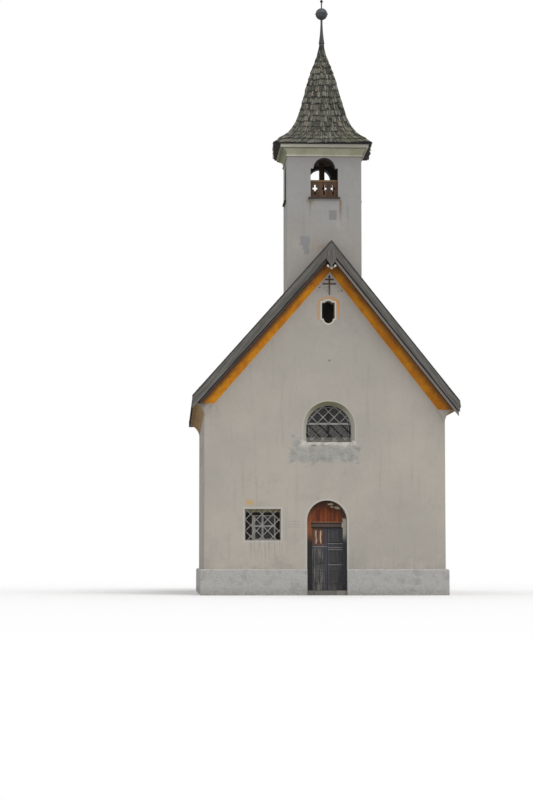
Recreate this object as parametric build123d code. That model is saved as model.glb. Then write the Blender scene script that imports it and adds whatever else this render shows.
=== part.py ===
from build123d import *
import os
from math import cos, hypot, radians

# Small plastered chapel with a tower over its front wall.
# Millimetres, Z up, the front faces -Y. The origin is at ground level in the middle of the nave.

# Nave
nave_width = 7670
nave_length = 12000
wall_thickness = 600
floor_height = 150
plinth_height = 830
plinth_projection = 105
plinth_chamfer = 40

# Roof: the ridge lies a little to the right of the nave's middle, and the right eave is lower
ridge_x = 195
ridge_height = 11262
left_eave_height = 6301
right_eave_height = 6119
left_overhang = 381
right_overhang = 468
verge_overhang = 450
roof_thickness = 110
rafter_depth = 160
rafter_width = 120
rafter_spacing = 960
plate_lip = 20
plate_width = 200
plate_setback = 35
tie_width = 200
tie_depth = 200
tie_spacing = 2400
tie_count = 4
tie_to_back_wall = 400

# Verge boards and plaster coves, as depths measured square to the slope
upper_board_depths = {"left": 280, "right": 235}
lower_board_lap = 10
lower_board_bottom = 340
board_thickness = 35
lower_board_setback = 50
upper_board_ends = {"left": 0, "right": 35}
lower_board_ends = {"left": 250, "right": 70}
cove_depth = 605
cove_growth = 80
cove_sag = 0.38
eave_cove_height = 350
eave_cove_projection = 230
eave_fascia_setback = 60
eave_soffit_drop = 130
kneeler_reach = 290
kneeler_foot = 60
kneeler_projection = 35

# Carved pendant under the apex, as half widths and depths below the ridge
pendant_top = 330
pendant_neck = 100
pendant_belly = 150
pendant_belly_drop = 630
pendant_waist = 62
pendant_waist_drop = 772
pendant_knob_radius = 36
pendant_knob_place = 118
pendant_knob_drop = 832
pendant_hook_radius = 185
pendant_hook_width = 40
pendant_hook_height = 75
pendant_hook_drop = 908
bud_half_width = 42
bud_half_height = 75
bud_drop = 945

# Front door
door_left = -565
door_right = 702
door_spring = 2366
door_head_height = 150
frame_setback = 350
frame_depth = 90
clear_left = -383
clear_right = 594
transom_bottom = 2140
transom_top = 2300
tympanum_foot = 11
tympanum_setback = 35
tympanum_thickness = 35
leaf_thickness = 42
leaf_gap = 5
leaf_meeting_gap = 10
leaf_foot_gap = 10
leaf_stile = 75
panel_recess = 14
panel_bevel = 45
panel_field_drop = 2
panel_count = 3
top_rail = 75
middle_rail = 222
bottom_rail = 170
hinge_inset = 250
knuckle_radius = 12
knuckle_height = 60
pin_radius = 6
pin_clearance = 0.3
knuckle_gap = 2
strap_length = 80
strap_height = 40
strap_thickness = 6

# Front window, lunette and oculus
window_left = -2542
window_right = -1400
window_sill = 1730
window_top = 2730
window_casement = {"left": 340, "right": 205, "head": 225}
window_split = 0.46
lunette_left = -683
lunette_right = 958
lunette_foot = 431
lunette_drop = 102
lunette_splay = 100
lunette_splay_depth = 250
lunette_sash_width = 90
lunette_bottom_rail = 110
lunette_transom_rise = 117
oculus_left = -85
oculus_right = 328
oculus_height = 520
oculus_drop = 150
oculus_lobe_radius = 150
oculus_lobe_rise = 60
oculus_lobe_fall = 150

# Side windows
side_window_width = 700
side_window_drop = 1149
side_window_foot = 450
side_window_place = 1560

# Window joinery and ironwork
sash_setback = 220
sash_depth = 60
sash_width = 60
glass_thickness = 6
grille_setback = 60
grille_thickness = 8
grille_bar = 26
grille_diagonal = 355
grille_rim = 26
window_lattice_left = 23
window_lattice_up = 160
lunette_sash_gap = 8
curl_radius = 52

# Tower
tower_width = 2380
tower_wall = 400
tower_shoulder = 68
beam_height = 300
belfry_floor_drop = 290
belfry_floor_thickness = 70
joist_depth = 180
joist_width = 140
joist_spacing = 700
ceiling_rise = 10
ceiling_thickness = 40
sound_width = 877
sound_arch_width = 694
sound_rise = 3240
sound_foot = 930
sound_head = 33
sill_board = 50
sill_ear = 70
sill_projection = 70
rail_rise = 570
rail_height = 55
rail_width = 70
fret_count = 3
fret_slot_width = 50
fret_slot_height = 320
fret_arm_width = 150
fret_arm_height = 60
fret_arm_rise = 40
fret_thickness = 30
fret_setback = 120
cornice_height = 370
bead_size = 30
cove_root = 8
cove_rise = 190
cove_reach = 150
cornice_sag = 0.3
fascia_height = 90
fascia_projection = 215

# Cross arch under the rear of the tower
arch_pier = 480
arch_spring_drop = 1549
arch_thickness = 600

# Spire
eave_board_half = 1540
eave_board_thickness = 35
spire_shell = 90
spire_shell_height = 2850
spire_points = [
    (1560, 0), (1311, 210), (1065, 420), (895, 687), (765, 1010), (600, 1600), (232, 2850), (140, 3090),
    (100, 3290), (80, 3553),
]
spire_turn = -3
mast_size = 170
cap_height = 790
cap_radius = 96
cap_waist = 50
cap_tip = 34
cap_waist_share = 0.47
ball_radius = 195
ball_seam = 14
ball_flat_angle = 12
rod_radius = 20
knob_radius = 48
knob_rise = 420
cross_height = 800
cross_arm = 250
cross_arm_share = 0.66
cross_bar = 40
cross_thickness = 20

# Worked-out places
front_y = -nave_length / 2
back_y = nave_length / 2
half_width = nave_width / 2
inner_half = half_width - wall_thickness
inner_front = front_y + wall_thickness
inner_back = back_y - wall_thickness
left_run = ridge_x + half_width + left_overhang
right_run = half_width + right_overhang - ridge_x
slopes = {
    "left": (-1, left_run, ridge_height - left_eave_height),
    "right": (1, right_run, ridge_height - right_eave_height),
}
tower_half = tower_width / 2
tower_inner = tower_half - tower_wall
tower_y = front_y + tower_half
tower_back = front_y + tower_width
door_apex = door_spring + (door_right - door_left) / 2
pier_top = door_apex + door_head_height


def block(x0, x1, y0, y1, z0, z1):
    """A box between two corners."""
    middle = Pos((x0 + x1) / 2, (y0 + y1) / 2, (z0 + z1) / 2)
    return middle * Box(abs(x1 - x0), abs(y1 - y0), abs(z1 - z0))


def polygon(*points):
    return make_face(Polyline(*points, close=True))


def rectangle(x0, x1, z0, z1):
    return Pos((x0 + x1) / 2, (z0 + z1) / 2) * Rectangle(x1 - x0, z1 - z0)


def arched(x0, x1, sill, spring, inset=0):
    """A round-headed outline, drawn inwards by the inset."""
    left = x0 + inset
    right = x1 - inset
    foot = sill + inset
    head = ThreePointArc((left, spring), ((left + right) / 2, spring + (right - left) / 2), (right, spring))
    return make_face(Polyline((right, spring), (right, foot), (left, foot), (left, spring)) + head)


def along_y(profile, y0, y1):
    """Extrudes a profile drawn in X and Z."""
    return extrude(Plane.XZ.offset(-y1) * profile, amount=y1 - y0)


def along_x(profile, x0, x1):
    """Extrudes a profile drawn in Y and Z."""
    return extrude(Plane.YZ.offset(x0) * profile, amount=x1 - x0)


def save(node, shape):
    """Writes one node; a single solid is written by itself."""
    solids = shape.solids()
    shape = solids[0] if len(solids) == 1 else Compound(children=list(solids))
    export_step(shape, f"parts/{node}.step")


# Roof geometry

def slope_cosine(side):
    sign, run, drop = slopes[side]
    return run / hypot(run, drop)


def roof_height(side, x, below=0):
    """Height at x of the plane that lies a given depth square under the roof's top."""
    sign, run, drop = slopes[side]
    return ridge_height - sign * (x - ridge_x) * drop / run - below / slope_cosine(side)


def eave_x(side):
    sign, run, drop = slopes[side]
    return ridge_x + sign * run


def wall_x(side, depth=0):
    """The outer face of a side wall, or a plane that far inside it."""
    return slopes[side][0] * (half_width - depth)


def mitre_x(below):
    """Where the left and right planes at one depth meet."""
    rise = below / slope_cosine("left") - below / slope_cosine("right")
    return ridge_x + rise / (slopes["left"][2] / slopes["left"][1] + slopes["right"][2] / slopes["right"][1])


def slope_band(side, top, bottom, reach):
    """The band between two depths under the roof's top, from the ridge out to x = reach."""
    ridge_top = mitre_x(top)
    ridge_low = mitre_x(bottom)
    return polygon(
        (ridge_top, roof_height(side, ridge_top, top)),
        (reach, roof_height(side, reach, top)),
        (reach, roof_height(side, reach, bottom)),
        (ridge_low, roof_height(side, ridge_low, bottom)),
    )


def under_roof(below, x0, x1, z0):
    """Everything between two verticals from z0 up to a plane under the roof."""
    top = mitre_x(below)
    return polygon(
        (x0, z0),
        (x1, z0),
        (x1, roof_height("right", x1, below)),
        (top, roof_height("right", top, below)),
        (x0, roof_height("left", x0, below)),
    )


def soffit_height(side):
    """The level underside of an eave, where its plaster cove ends."""
    tip = eave_x(side) - slopes[side][0] * eave_fascia_setback
    return roof_height(side, tip, roof_thickness) - eave_soffit_drop


# Levels worked out from the roof, downwards for the nave and upwards for the tower
wall_top = min(roof_height(side, wall_x(side), roof_thickness + rafter_depth) for side in slopes) - plate_lip
lunette_spring = wall_top - lunette_drop - (lunette_right - lunette_left) / 2
lunette_sill = lunette_spring - lunette_foot
side_window_spring = wall_top - side_window_drop - side_window_width / 2
side_window_sill = side_window_spring - side_window_foot
arch_spring = wall_top - arch_spring_drop
tower_base = min(
    roof_height(side, slopes[side][0] * (tower_half + tower_shoulder), roof_thickness) for side in slopes
)
oculus_top = tower_base - oculus_drop
oculus_bottom = oculus_top - oculus_height
sound_bottom = tower_base + sound_rise
sound_spring = sound_bottom + sound_foot
rail_top = sound_bottom + rail_rise
belfry_floor_top = sound_bottom - belfry_floor_drop
cornice_bottom = sound_spring + sound_arch_width / 2 + sound_head
ceiling_bottom = cornice_bottom + ceiling_rise
tower_top = cornice_bottom + cornice_height
spire_base = tower_top + eave_board_thickness


def tower_box(clearance, z0, z1):
    return block(
        -tower_half - clearance, tower_half + clearance, front_y, tower_back + clearance, z0, z1
    )


def roof_slope(side):
    y0 = front_y - verge_overhang + board_thickness
    slab = along_y(slope_band(side, 0, roof_thickness, eave_x(side)), y0, -y0)
    return slab - tower_box(0, tower_base - beam_height, tower_top)


def rafters(side):
    section = slope_band(side, roof_thickness, roof_thickness + rafter_depth, wall_x(side))
    count = int((inner_back - tower_back) // rafter_spacing)
    places = [tower_back + rafter_width + i * rafter_spacing for i in range(count)]
    bars = [along_y(section, y, y + rafter_width) for y in places + [tower_y]]
    bars[-1] -= tower_box(0, 0, tower_top)
    return Compound(children=[solid for bar in bars for solid in bar.solids()])


def wall_plate(side):
    sign = slopes[side][0]
    outer = wall_x(side, plate_setback)
    inner = wall_x(side, plate_setback + plate_width)
    depth = roof_thickness + rafter_depth
    section = polygon(
        (outer, wall_top),
        (inner, wall_top),
        (inner, roof_height(side, inner, depth)),
        (outer, roof_height(side, outer, depth)),
    )
    return along_y(section, inner_front, inner_back)


def tie_beams():
    reach = half_width - plate_setback - plate_width
    last = inner_back - tie_to_back_wall - tie_width
    places = [last - tie_spacing * i for i in reversed(range(tie_count))]
    return [block(-reach, reach, y, y + tie_width, wall_top, wall_top + tie_depth) for y in places]


def verge_boards(front):
    """Upper and lower boards of one gable, each mitred at the ridge; the rear ones end level with the soffit."""
    face = front_y - verge_overhang
    behind = face + lower_board_setback
    upper = None
    lower = None
    for side in slopes:
        sign = slopes[side][0]
        upper_end = eave_x(side) - sign * upper_board_ends[side]
        lower_end = eave_x(side) - sign * lower_board_ends[side]
        lower_board_top = upper_board_depths[side] - lower_board_lap
        near = slope_band(side, 0, upper_board_depths[side], upper_end)
        far = slope_band(side, lower_board_top, lower_board_bottom, lower_end)
        upper = near if upper is None else upper + near
        lower = far if lower is None else lower + far
    boards = along_y(upper, face, face + board_thickness) + along_y(lower, behind, behind + board_thickness)
    if front:
        return boards
    for side in slopes:
        boards -= block(wall_x(side), 2 * eave_x(side), face, front_y, 0, soffit_height(side))
    return boards.mirror(Plane.XZ)


def gable_cove_side(side):
    """A plaster cove under the verge, cut level at its foot. It is deeper there than at the ridge."""
    sign, run, drop = slopes[side]
    start = ridge_x - sign * cove_depth
    outer = verge_overhang - lower_board_setback - board_thickness
    brow = (outer, sign * lower_board_bottom)
    plane = Plane(
        origin=(start, front_y, roof_height(side, start)), x_dir=(0, -1, 0), z_dir=(sign * run, 0, -drop)
    )
    sections = []
    for distance, depth in ((0, cove_depth), (hypot(run, drop) + 2 * cove_depth, cove_depth + cove_growth)):
        foot = (0, sign * depth)
        sag = (outer * cove_sag, sign * (lower_board_bottom + cove_sag * (depth - lower_board_bottom)))
        edge = Polyline(foot, (0, sign * roof_thickness), (outer, sign * roof_thickness), brow)
        sections.append(plane.offset(distance) * make_face(edge + ThreePointArc(brow, sag, foot)))
    climb = loft(sections)
    low = soffit_height(side)
    far = mitre_x(cove_depth)
    tip = eave_x(side) - sign * eave_fascia_setback
    half = polygon(
        (mitre_x(0), ridge_height),
        (tip, ridge_height),
        (tip, low),
        (far, low),
        (far, roof_height(side, far, cove_depth)),
    )
    return climb & along_y(half, front_y - verge_overhang, front_y)


def gable_cove(front):
    cove = gable_cove_side("left") + gable_cove_side("right")
    return cove if front else cove.mirror(Plane.XZ)


def eave_cornice(side):
    """A level soffit with a plaster cove under it, along one side wall."""
    sign = slopes[side][0]
    wall = wall_x(side)
    tip = eave_x(side) - sign * eave_fascia_setback
    lip = wall + sign * eave_cove_projection
    soffit = soffit_height(side)
    edge = Polyline(
        (lip, soffit),
        (tip, soffit),
        (tip, roof_height(side, tip, roof_thickness)),
        (wall, roof_height(side, wall, roof_thickness)),
        (wall, soffit - eave_cove_height),
    )
    section = make_face(edge + cove_arc(side, wall, lip))
    return along_y(section, front_y, back_y)


def cove_arc(side, foot_x, lip_x):
    """The hollow curve of an eave cove, from its foot on the wall out to its lip."""
    soffit = soffit_height(side)
    foot = soffit - eave_cove_height
    middle = (foot_x + (lip_x - foot_x) * cove_sag, soffit - eave_cove_height * cove_sag)
    return ThreePointArc((foot_x, foot), middle, (lip_x, soffit))


def kneeler(side):
    """The moulded stop on the front corner, at the foot of the raking cove."""
    sign = slopes[side][0]
    wall = wall_x(side)
    lip = wall + sign * eave_cove_projection
    inner_foot = wall - sign * kneeler_foot
    inner_lip = wall - sign * kneeler_reach
    foot = soffit_height(side) - eave_cove_height
    edge = cove_arc(side, wall, lip) + Polyline((lip, soffit_height(side)), (inner_lip, soffit_height(side)))
    edge += cove_arc(side, inner_foot, inner_lip)
    section = make_face(edge + Polyline((inner_foot, foot), (wall, foot)))
    return along_y(section, front_y - kneeler_projection, front_y)


def kneelers():
    front = [kneeler(side) for side in slopes]
    return Compound(children=front + [stop.mirror(Plane.XZ) for stop in front])


def verge_pendant():
    """A carved drop under the front apex: swelling stem, two hooks and a bud."""
    stem = polygon(
        (pendant_neck, -pendant_top),
        (pendant_belly, -pendant_belly_drop),
        (pendant_waist, -pendant_waist_drop),
        (-pendant_waist, -pendant_waist_drop),
        (-pendant_belly, -pendant_belly_drop),
        (-pendant_neck, -pendant_top),
    )
    radius = pendant_hook_radius
    ring = Circle(radius) - Circle(radius - pendant_hook_width)
    hooks = ring & rectangle(-radius, radius, -radius, pendant_hook_height - radius)
    tongue = rectangle(-bud_half_width, bud_half_width, -pendant_hook_drop, -pendant_waist_drop)
    bud = Pos(0, bud_half_height - bud_drop) * Ellipse(bud_half_width, bud_half_height)
    outline = stem + Pos(0, radius - pendant_hook_drop) * hooks + tongue + bud
    for x in (-pendant_knob_place, pendant_knob_place):
        outline += Pos(x, -pendant_knob_drop) * Circle(pendant_knob_radius)
    face = front_y - verge_overhang
    return along_y(Pos(ridge_x, ridge_height) * outline, face - board_thickness, face)


# Walls

def oculus_outline():
    middle = (oculus_left + oculus_right) / 2
    outline = rectangle(oculus_left, oculus_right, oculus_bottom, oculus_top)
    for z in (oculus_top + oculus_lobe_rise - oculus_lobe_radius,
              oculus_bottom - oculus_lobe_fall + oculus_lobe_radius):
        outline += Pos(middle, z) * Circle(oculus_lobe_radius)
    return outline


def lunette_inside(inset, sill_rise=0):
    """The lunette's outline made narrower at its sides and its arch, and raised at its sill."""
    return arched(lunette_left + inset, lunette_right - inset, lunette_sill + sill_rise, lunette_spring)


def lunette_hole():
    """A round-headed opening whose reveal narrows inwards over a level sill."""
    outer = Plane.XZ.offset(-front_y) * lunette_inside(0)
    inner_face = front_y + lunette_splay_depth
    inner = lunette_inside(lunette_splay)
    return loft([outer, Plane.XZ.offset(-inner_face) * inner]) + along_y(inner, inner_face, inner_front)


def gable_wall(y0, y1):
    """A whole end wall up to the roof."""
    return along_y(under_roof(roof_thickness, -half_width, half_width, 0), y0, y1)


def front_walls():
    wall = gable_wall(front_y, inner_front)
    wall -= along_y(arched(door_left, door_right, 0, door_spring), front_y, inner_front)
    wall -= along_y(rectangle(window_left, window_right, window_sill, window_top), front_y, inner_front)
    wall -= lunette_hole()
    wall -= along_y(oculus_outline(), front_y, inner_front)
    band = (front_y, inner_front)
    left = wall & block(-half_width, door_left, *band, 0, pier_top)
    right = wall & block(door_right, half_width, *band, 0, pier_top)
    gable = wall & block(-half_width, half_width, *band, wall_top, tower_base)
    middle = wall & block(-half_width, half_width, *band, pier_top, wall_top)
    middle += wall & block(door_left, door_right, *band, door_spring, pier_top)
    save("front_wall_left", left)
    save("front_wall_right", right)
    save("front_wall_middle", middle)
    save("front_gable", gable)


def side_wall(side):
    outer = wall_x(side)
    inner = wall_x(side, wall_thickness)
    wall = block(outer, inner, inner_front, inner_back, 0, wall_top)
    for y in (-side_window_place, side_window_place):
        hole = arched(y - side_window_width / 2, y + side_window_width / 2, side_window_sill, side_window_spring)
        wall -= along_x(hole, min(outer, inner), max(outer, inner))
    return wall


def back_walls():
    wall = gable_wall(inner_back, back_y)
    wall -= along_y(oculus_outline(), inner_back, back_y)
    save("back_wall", wall & block(-half_width, half_width, inner_back, back_y, 0, wall_top))
    save("back_gable", wall & block(-half_width, half_width, inner_back, back_y, wall_top, ridge_height))


def plinths():
    """A base course with a chamfered top, left open at the doorway."""
    reach = half_width + plinth_projection
    ring = block(-reach, reach, front_y - plinth_projection, back_y + plinth_projection, 0, plinth_height)
    ring = chamfer(ring.faces().sort_by(Axis.Z)[-1].edges(), plinth_chamfer)
    ring -= block(-half_width, half_width, front_y, back_y, 0, plinth_height)
    ring -= block(door_left, door_right, front_y - plinth_projection, front_y, 0, plinth_height)
    far = reach + plinth_projection
    save("plinth_front", ring & block(-far, far, front_y - plinth_projection, front_y, 0, plinth_height))
    save("plinth_back", ring & block(-far, far, back_y, back_y + plinth_projection, 0, plinth_height))
    save("plinth_left", ring & block(-far, -half_width, front_y, back_y, 0, plinth_height))
    save("plinth_right", ring & block(half_width, far, front_y, back_y, 0, plinth_height))


def floors():
    save("floor", block(-inner_half, inner_half, inner_front, inner_back, 0, floor_height))
    save("threshold", block(door_left, door_right, front_y, inner_front, 0, floor_height))


def cross_arch():
    """A wide masonry arch across the nave that carries the rear of the tower."""
    wall = along_y(
        under_roof(roof_thickness, -inner_half, inner_half, floor_height), tower_back - arch_thickness, tower_back
    )
    half = inner_half - arch_pier
    hole = arched(-half, half, floor_height, arch_spring)
    wall -= along_y(hole, tower_back - arch_thickness, tower_back)
    return wall & block(-inner_half, inner_half, inner_front, tower_back, 0, tower_base)


# Tower

def sound_outline():
    opening = rectangle(-sound_width / 2, sound_width / 2, sound_bottom - sill_board, sound_spring)
    return opening + arched(-sound_arch_width / 2, sound_arch_width / 2, sound_bottom, sound_spring)


def around_tower(shape):
    """Four copies of a shape made for the front, turned about the tower's axis."""
    return [Pos(0, tower_y, 0) * (Rot(0, 0, 90 * i) * (Pos(0, -tower_y, 0) * shape)) for i in range(4)]


def tower_walls():
    holes = around_tower(along_y(sound_outline(), front_y, front_y + tower_wall))
    front = block(-tower_half, tower_half, front_y, front_y + tower_wall, tower_base, tower_top)
    shoulders = under_roof(roof_thickness, -half_width, half_width, 0)
    front += along_y(shoulders, front_y, front_y + tower_wall) & block(
        -half_width, half_width, front_y, front_y + tower_wall, tower_base, ridge_height
    )
    inner_y = front_y + tower_wall
    side = block(tower_inner, tower_half, inner_y, tower_back, tower_base, tower_top)
    back = block(-tower_inner, tower_inner, tower_back - tower_wall, tower_back, tower_base, tower_top)
    save("tower_front_wall", front - holes[0])
    save("tower_right_wall", side - holes[1])
    save("tower_back_wall", back - holes[2])
    save("tower_left_wall", side.mirror(Plane.YZ) - holes[3])


def tower_beams():
    z0 = tower_base - beam_height
    beam = block(tower_inner, tower_half, inner_front, tower_back - arch_thickness, z0, tower_base)
    return Compound(children=[beam, beam.mirror(Plane.YZ)])


def mast_hole(z0, z1):
    half = mast_size / 2
    return block(-half, half, tower_y - half, tower_y + half, z0, z1)


def belfry_floor():
    y0 = front_y + tower_wall
    y1 = tower_back - tower_wall
    under = belfry_floor_top - belfry_floor_thickness
    boards = block(-tower_inner, tower_inner, y0, y1, under, belfry_floor_top)
    for y in (tower_y - joist_spacing / 2, tower_y + joist_spacing / 2):
        boards += block(
            -tower_inner, tower_inner, y - joist_width / 2, y + joist_width / 2, under - joist_depth, under
        )
    return boards


def belfry_ceiling():
    y0 = front_y + tower_wall
    y1 = tower_back - tower_wall
    top = ceiling_bottom + ceiling_thickness
    return block(-tower_inner, tower_inner, y0, y1, ceiling_bottom, top) - mast_hole(ceiling_bottom, top)


def balustrade():
    """Fretwork boards under a handrail."""
    y0 = front_y + fret_setback
    foot = rail_top - rail_height
    half = sound_width / 2
    face = rectangle(-half, half, sound_bottom, foot)
    pitch = sound_width / fret_count
    middle = (sound_bottom + foot) / 2
    for i in range(fret_count):
        x = (i + 0.5) * pitch - half
        face -= Pos(x, middle) * Rectangle(fret_slot_width, fret_slot_height)
        face -= Pos(x, middle + fret_arm_rise) * Rectangle(fret_arm_width, fret_arm_height)
    panel = along_y(face, y0, y0 + fret_thickness)
    shift = (rail_width - fret_thickness) / 2
    return panel + block(-half, half, y0 - shift, y0 - shift + rail_width, foot, rail_top)


def belfry_sill():
    half = sound_width / 2
    z0 = sound_bottom - sill_board
    inside = block(-half, half, front_y, front_y + tower_wall, z0, sound_bottom)
    return inside + block(-half - sill_ear, half + sill_ear, front_y - sill_projection, front_y, z0, sound_bottom)


def four_sided(half_profile, turn=0):
    """A mitred square body whose four sides follow one half profile."""
    whole = half_profile + half_profile.mirror(Plane.YZ)
    one = along_y(whole, -2 * eave_board_half, 2 * eave_board_half)
    return Pos(0, tower_y, 0) * (Rot(0, 0, turn) * (one & (Rot(0, 0, 90) * one)))


def tower_cornice():
    z = cornice_bottom
    bead_top = z + 2 * bead_size
    cove_top = bead_top + cove_rise
    lip = tower_half + cove_reach
    edge = Polyline((0, z), (tower_half, z))
    root = tower_half + cove_root
    edge += ThreePointArc((tower_half, z), (root + bead_size, z + bead_size), (root, bead_top))
    sag = (tower_half + cove_reach * cornice_sag, cove_top - cove_rise * cornice_sag)
    edge += ThreePointArc((root, bead_top), sag, (lip, cove_top))
    edge += Polyline(
        (lip, cove_top),
        (lip, tower_top - fascia_height),
        (tower_half + fascia_projection, tower_top - fascia_height),
        (tower_half + fascia_projection, tower_top),
        (0, tower_top),
        (0, z),
    )
    return four_sided(make_face(edge)) - tower_box(0, z, tower_top)


def spire_half(rise):
    """Half the width of the spire at a height above its eaves, taken straight between two of its points."""
    for (wide, low), (narrow, high) in zip(spire_points, spire_points[1:]):
        if low <= rise <= high:
            return wide + (narrow - wide) * (rise - low) / (high - low)


def spire_body(inset, top):
    """The bell-cast spire outline, moved inwards by the inset and cut at a height above the eaves."""
    outline = [(half, rise) for half, rise in spire_points if rise < top]
    outline.append((spire_half(top), top))
    points = [(half - inset, spire_base + rise) for half, rise in outline]
    tip = points[-1]
    edge = Spline(*points) + Polyline(tip, (0, tip[1]), (0, spire_base), points[0])
    return four_sided(make_face(edge), spire_turn)


def spire():
    last = spire_points[-1][1]
    return spire_body(0, last) - spire_body(spire_shell, spire_shell_height)


def spire_eaves():
    half = eave_board_half
    board = Rot(0, 0, spire_turn) * block(-half, half, -half, half, tower_top, spire_base)
    hole = block(-tower_inner, tower_inner, -tower_inner, tower_inner, tower_top, spire_base)
    return Pos(0, tower_y, 0) * (board - hole)


def spire_mast():
    return mast_hole(belfry_floor_top, spire_base + spire_shell_height) - spire()


spire_tip = spire_base + spire_points[-1][1]
cap_top = spire_tip + cap_height
ball_height = cap_top + ball_radius * cos(radians(ball_flat_angle))


def turned(edge):
    """Revolves a profile drawn in X and Z about the tower's axis."""
    return Pos(0, tower_y, 0) * revolve(Plane.XZ * make_face(edge), Axis.Z)


def spire_cap():
    z = spire_tip
    flank = Spline((cap_radius, z), (cap_waist, z + cap_height * cap_waist_share), (cap_tip, cap_top))
    return turned(flank + Polyline((cap_tip, cap_top), (0, cap_top), (0, z), (cap_radius, z)))


def finial_ball():
    ball = Sphere(ball_radius) + Cylinder(ball_radius + ball_seam, ball_seam)
    flat = cap_top - ball_height
    ball -= block(-ball_radius, ball_radius, -ball_radius, ball_radius, -ball_radius, flat)
    ball -= block(-ball_radius, ball_radius, -ball_radius, ball_radius, -flat, ball_radius)
    return Pos(0, tower_y, ball_height) * ball


def finial_cross():
    foot = 2 * ball_height - cap_top
    knob = ball_height + knob_rise
    top = knob + cross_height
    shaft = Pos(0, tower_y, (foot + knob) / 2) * Cylinder(rod_radius, knob - foot)
    shaft += Pos(0, tower_y, knob) * Sphere(knob_radius)
    y0 = tower_y - cross_thickness / 2
    upright = rectangle(-cross_bar / 2, cross_bar / 2, knob, top)
    arm = knob + cross_height * cross_arm_share
    upright += rectangle(-cross_arm, cross_arm, arm - cross_bar / 2, arm + cross_bar / 2)
    return shaft + along_y(upright, y0, y0 + cross_thickness)


# Door

def inner_arch():
    return arched(clear_left, clear_right, transom_top, transom_top + tympanum_foot)


def door_frame():
    y0 = front_y + frame_setback
    outline = arched(door_left, door_right, floor_height, door_spring)
    outline -= rectangle(clear_left, clear_right, floor_height, transom_bottom)
    outline -= inner_arch()
    return along_y(outline, y0, y0 + frame_depth)


def door_tympanum():
    y0 = front_y + frame_setback + tympanum_setback
    return along_y(inner_arch(), y0, y0 + tympanum_thickness)


hinge_y = front_y + frame_setback + frame_depth + knuckle_radius + knuckle_gap


def hinge_heights():
    """The feet of the leaf's knuckles: low, middle and high."""
    low = floor_height + leaf_foot_gap + hinge_inset
    high = transom_bottom - leaf_gap - hinge_inset
    return [low, (low + high) / 2, high]


def left_leaf(x0, x1):
    """A panelled leaf hung at x0 with three barrel hinges."""
    y1 = front_y + frame_setback + frame_depth
    y0 = y1 - leaf_thickness
    z0 = floor_height + leaf_foot_gap
    z1 = transom_bottom - leaf_gap
    leaf = block(x0 + leaf_gap, x1, y0, y1, z0, z1)
    inner = (x0 + leaf_gap + leaf_stile, x1 - leaf_stile)
    height = (z1 - z0 - top_rail - bottom_rail - middle_rail * (panel_count - 1)) / panel_count
    for row in range(panel_count):
        low = z0 + bottom_rail + row * (height + middle_rail)
        high = low + height
        for face, inward in ((y0, 1), (y1, -1)):
            leaf -= block(inner[0], inner[1], face, face + inward * panel_recess, low, high)
            outline = rectangle(inner[0] + panel_bevel / 3, inner[1] - panel_bevel / 3,
                                low + panel_bevel / 3, high - panel_bevel / 3)
            field = rectangle(inner[0] + panel_bevel, inner[1] - panel_bevel,
                              low + panel_bevel, high - panel_bevel)
            base = Plane.XZ.offset(-face - inward * panel_recess) * outline
            leaf += loft([base, Plane.XZ.offset(-face - inward * panel_field_drop) * field])
    for z in hinge_heights():
        knuckle = Pos(x0, hinge_y, z + knuckle_height / 2) * Cylinder(knuckle_radius, knuckle_height)
        strap = block(x0, x0 + strap_length, y1, y1 + strap_thickness, z, z + strap_height)
        bore = Pos(x0, hinge_y, z + knuckle_height / 2) * Cylinder(pin_radius + pin_clearance, knuckle_height)
        leaf += (knuckle + strap) - bore
    return leaf


def hinge_pins(x0):
    """Lower knuckles, straps and pins fixed to the frame's inner face at one jamb."""
    y1 = front_y + frame_setback + frame_depth
    pins = []
    for z in hinge_heights():
        low = z - knuckle_gap - knuckle_height
        pin = Pos(x0, hinge_y, low + knuckle_height / 2) * Cylinder(knuckle_radius, knuckle_height)
        pin += block(x0 - strap_length, x0, y1, y1 + strap_thickness, low, low + strap_height)
        pin += Pos(x0, hinge_y, low + knuckle_height) * Cylinder(pin_radius, 2 * knuckle_height)
        pins.append(pin)
    return pins


def door():
    middle = (clear_left + clear_right) / 2
    left = left_leaf(clear_left, middle - leaf_meeting_gap / 2)
    swap = Plane.YZ.offset(middle)
    pins = hinge_pins(clear_left)
    save("door_frame", door_frame())
    save("door_tympanum", door_tympanum())
    save("left_door", left)
    save("right_door", left.mirror(swap))
    save("door_hinge_pins", Compound(children=pins + [pin.mirror(swap) for pin in pins]))


# Windows

def sash(outline, inside, x_bars, z_bars):
    """A fixed frame with upright and level bars, as a flat outline."""
    frame = outline - inside
    box = inside.bounding_box()
    for x in x_bars:
        frame += inside & rectangle(x - sash_width / 2, x + sash_width / 2, box.min.Y, box.max.Y)
    for z in z_bars:
        frame += inside & rectangle(box.min.X, box.max.X, z - sash_width / 2, z + sash_width / 2)
    return frame


def lattice(outline, inside, centre):
    """Crossed diagonal bars inside a rim. The centre lies in the middle of four bars."""
    box = outline.bounding_box()
    length = box.size.X + box.size.Y
    step = grille_diagonal * cos(radians(45))
    count = int(length / step)
    bars = outline - inside
    for angle in (45, -45):
        for i in range(-count, count + 1):
            bar = Rot(0, 0, angle) * (Pos(0, (i + 0.5) * step) * Rectangle(length, grille_bar))
            bars += inside & (Pos(*centre) * bar)
    return bars


def curls(x0, x1, z):
    """A row of open rings that stand on the bottom rim between the bars."""
    count = int((x1 - x0) / grille_diagonal)
    pitch = (x1 - x0) / count
    ring = Circle(curl_radius) - Circle(curl_radius - grille_bar)
    shape = None
    for i in range(count):
        curl = Pos(x0 + (i + 0.5) * pitch, z + curl_radius) * ring
        shape = curl if shape is None else shape + curl
    return shape


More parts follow.
